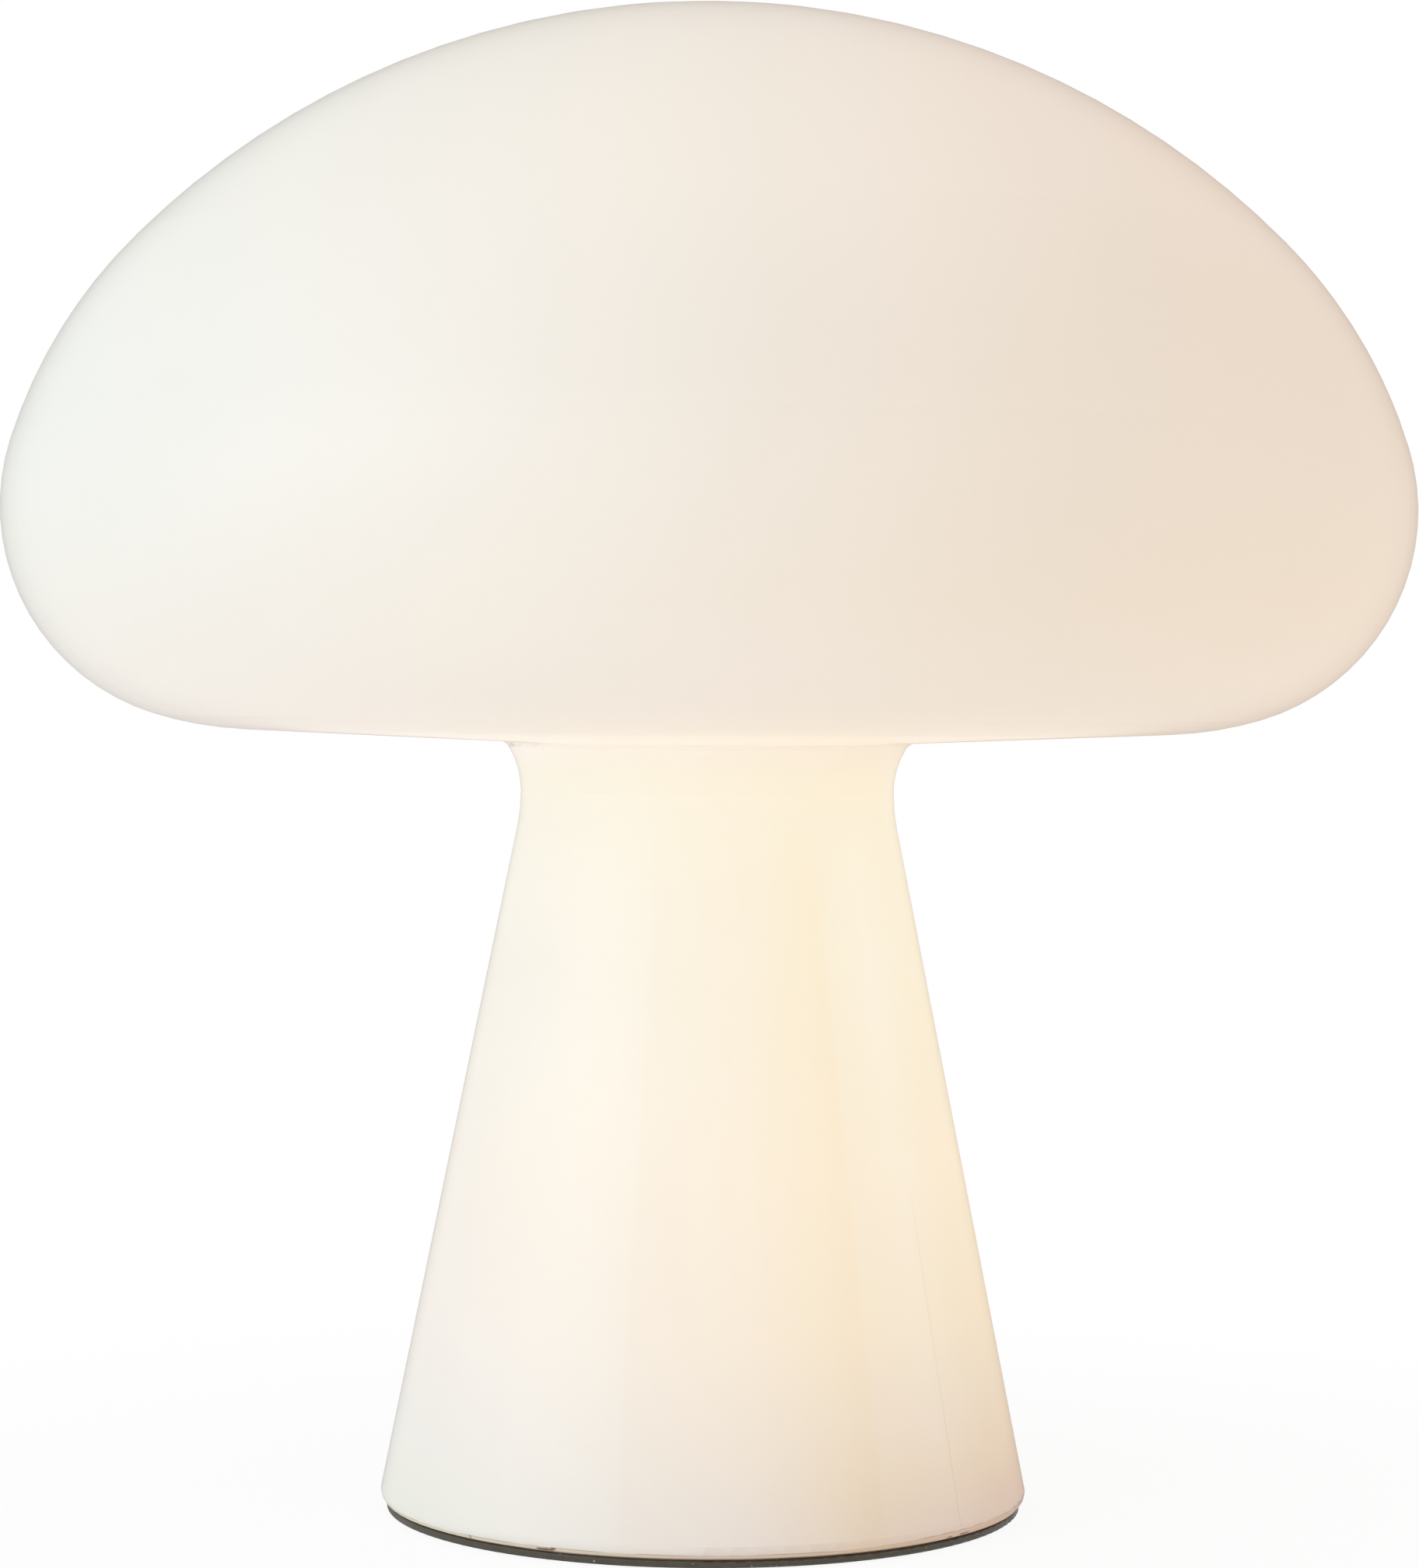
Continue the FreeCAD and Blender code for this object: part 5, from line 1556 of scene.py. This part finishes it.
@dataclass(frozen=True)
class Portrait:
    """The camera at the photograph's viewing angle, with its focal length in pixels."""

    place: Point = (0.00026, -0.70477, 0.13719)
    pitch: float = -1.3035
    roll: float = -0.361
    sensor: float = 36.0
    frame_height: float = 2016.0
    focal_length: float = 5414.5

    def build(self) -> None:
        """Make the camera and set it as the scene's own."""
        data = bpy.data.cameras.new("portrait")
        data.sensor_width = self.sensor
        data.lens = self.focal_length / self.frame_height * self.sensor
        camera = bpy.data.objects.new("portrait", data)
        bpy.context.scene.collection.objects.link(camera)
        camera.location = self.place
        camera.rotation_euler = (math.radians(90.0 + self.pitch), math.radians(self.roll), 0.0)
        bpy.context.scene.camera = camera


AIM = (0.0, 0.0, 0.14)
COOL_WHITE = (0.82, 0.93, 1.0)
WARM_WHITE = (1.0, 0.88, 0.75)


@dataclass(frozen=True)
class Studio:
    """Plain pale floor, soft lamps and white surroundings."""

    lamps: tuple[SoftBox, ...] = (
        SoftBox("high_left_lamp", (-1.10, -0.95, 0.75), AIM, 1.1, 5.74, COOL_WHITE),
        SoftBox("left_lamp", (-1.20, -0.60, 0.25), AIM, 1.0, 2.91, COOL_WHITE),
        SoftBox("near_left_lamp", (-0.55, -0.70, 0.65), AIM, 0.5, 0.41, COOL_WHITE),
        SoftBox("top_left_lamp", (-0.75, -0.20, 1.15), AIM, 1.0, 1.99, COOL_WHITE),
        SoftBox("front_lamp", (0.0, -1.40, 0.20), AIM, 0.8, 1.62, WARM_WHITE),
        SoftBox("right_lamp", (0.75, -1.05, 0.45), AIM, 0.9, 2.00, WARM_WHITE),
        SoftBox("right_side_lamp", (1.35, 0.10, 0.45), AIM, 1.0, 2.73, COOL_WHITE),
        SoftBox("top_lamp", (0.0, 0.10, 1.35), AIM, 1.0, 3.38, WARM_WHITE),
    )
    ambient: Colour = (0.40, 0.40, 0.40)
    floor_side: float = 8.0
    floor_steps: int = 48
    hole_radius: float = 0.037
    floor_colour: Colour = (0.86, 0.86, 0.85)
    floor_second: Colour = (0.8471, 0.8471, 0.83725)
    floor_cloud_scale: float = 9.0
    floor_cloud_edges: tuple[float, float] = (0.3, 0.7)
    floor_lift: float = 0.93
    fade_reach: tuple[float, float] = (0.060, 0.26)

    def build(self) -> None:
        """Make the world, the lamps, the floor and the camera."""
        self._surround()
        for lamp in self.lamps:
            lamp.build()
        self._floor()
        Portrait().build()

    def _seen(self, wiring: Wiring) -> bpy.types.NodeSocket:
        """Tell which rays show the surroundings: those of the camera, of gloss and of glass.

        Args:
            wiring: The wiring of the world or of a material.

        Returns:
            1 for such rays, 0 for the rest.
        """
        path = wiring.node("LightPath").outputs
        mirrored = wiring.maths("MAXIMUM", path["Is Glossy Ray"], path["Is Transmission Ray"])
        return wiring.maths("MAXIMUM", path["Is Camera Ray"], mirrored)

    def _surround(self) -> None:
        """White where it is seen, and a plain level where it lights the object."""
        world = bpy.data.worlds.new("studio")
        bpy.context.scene.world = world
        world.use_nodes = True
        wiring = Wiring(world.node_tree)
        background = world.node_tree.nodes["Background"]
        wiring.feed(background.inputs["Color"],
                    wiring.mix(self._seen(wiring), rgba(self.ambient), rgba(WHITE)))

    def _floor(self) -> None:
        """Lay a round floor, open right under the lamp so that its underside is lit."""
        steps = self.floor_steps
        points = [(radius * math.cos(math.tau * step / steps),
                   radius * math.sin(math.tau * step / steps), 0.0)
                  for radius in (self.hole_radius, self.floor_side / 2) for step in range(steps)]
        faces = [(step, steps + step, steps + (step + 1) % steps, (step + 1) % steps)
                 for step in range(steps)]
        mesh = bpy.data.meshes.new("floor")
        mesh.from_pydata(points, [], faces)
        mesh.materials.append(self._paper())
        floor = bpy.data.objects.new("floor", mesh)
        bpy.context.scene.collection.objects.link(floor)

    def _paper(self) -> bpy.types.Material:
        """Pale paper that keeps the lamp's shadow, fades to white and is clear from below.

        Returns:
            The material.
        """
        material = bpy.data.materials.new("pale_floor")
        material.use_nodes = True
        tree = material.node_tree
        tree.nodes.clear()
        wiring = Wiring(tree)
        place = wiring.node("NewGeometry").outputs["Position"]
        cloud = wiring.span(wiring.noise(place, self.floor_cloud_scale, detail=2.0),
                            *self.floor_cloud_edges)
        paper = wiring.mix(cloud, rgba(self.floor_colour), rgba(self.floor_second))
        lit = wiring.node("BsdfDiffuse", {"Color": paper})
        white = wiring.node("Emission", {"Color": rgba(WHITE), "Strength": 1.0})
        reach = wiring.node("VectorMath", {0: place}, operation="LENGTH").outputs["Value"]
        fade = wiring.span(reach, *self.fade_reach, self.floor_lift, 1.0)
        lift = wiring.maths("MULTIPLY", self._seen(wiring), fade)
        shown = wiring.node("MixShader", {0: lift, 1: lit.outputs[0], 2: white.outputs[0]})
        under = wiring.node("NewGeometry").outputs["Backfacing"]
        clear = wiring.node("BsdfTransparent")
        both = wiring.node("MixShader", {0: under, 1: shown.outputs[0], 2: clear.outputs[0]})
        wiring.node("OutputMaterial", {"Surface": both.outputs[0]})
        return material


def main() -> None:
    """Load the frame, dress each sub-assembly and set the studio."""
    logging.basicConfig(level=logging.INFO, format="%(message)s")
    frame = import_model()
    Studio().build()
    shelf = FinishShelf(Effects())
    for assembly in (GlassAndBase(), SwitchAndPort(), PowerUnit(), LightUnit()):
        assembly.build(frame, shelf)
    bpy.context.scene.view_settings.view_transform = "Standard"


if __name__ == "__main__":
    main()
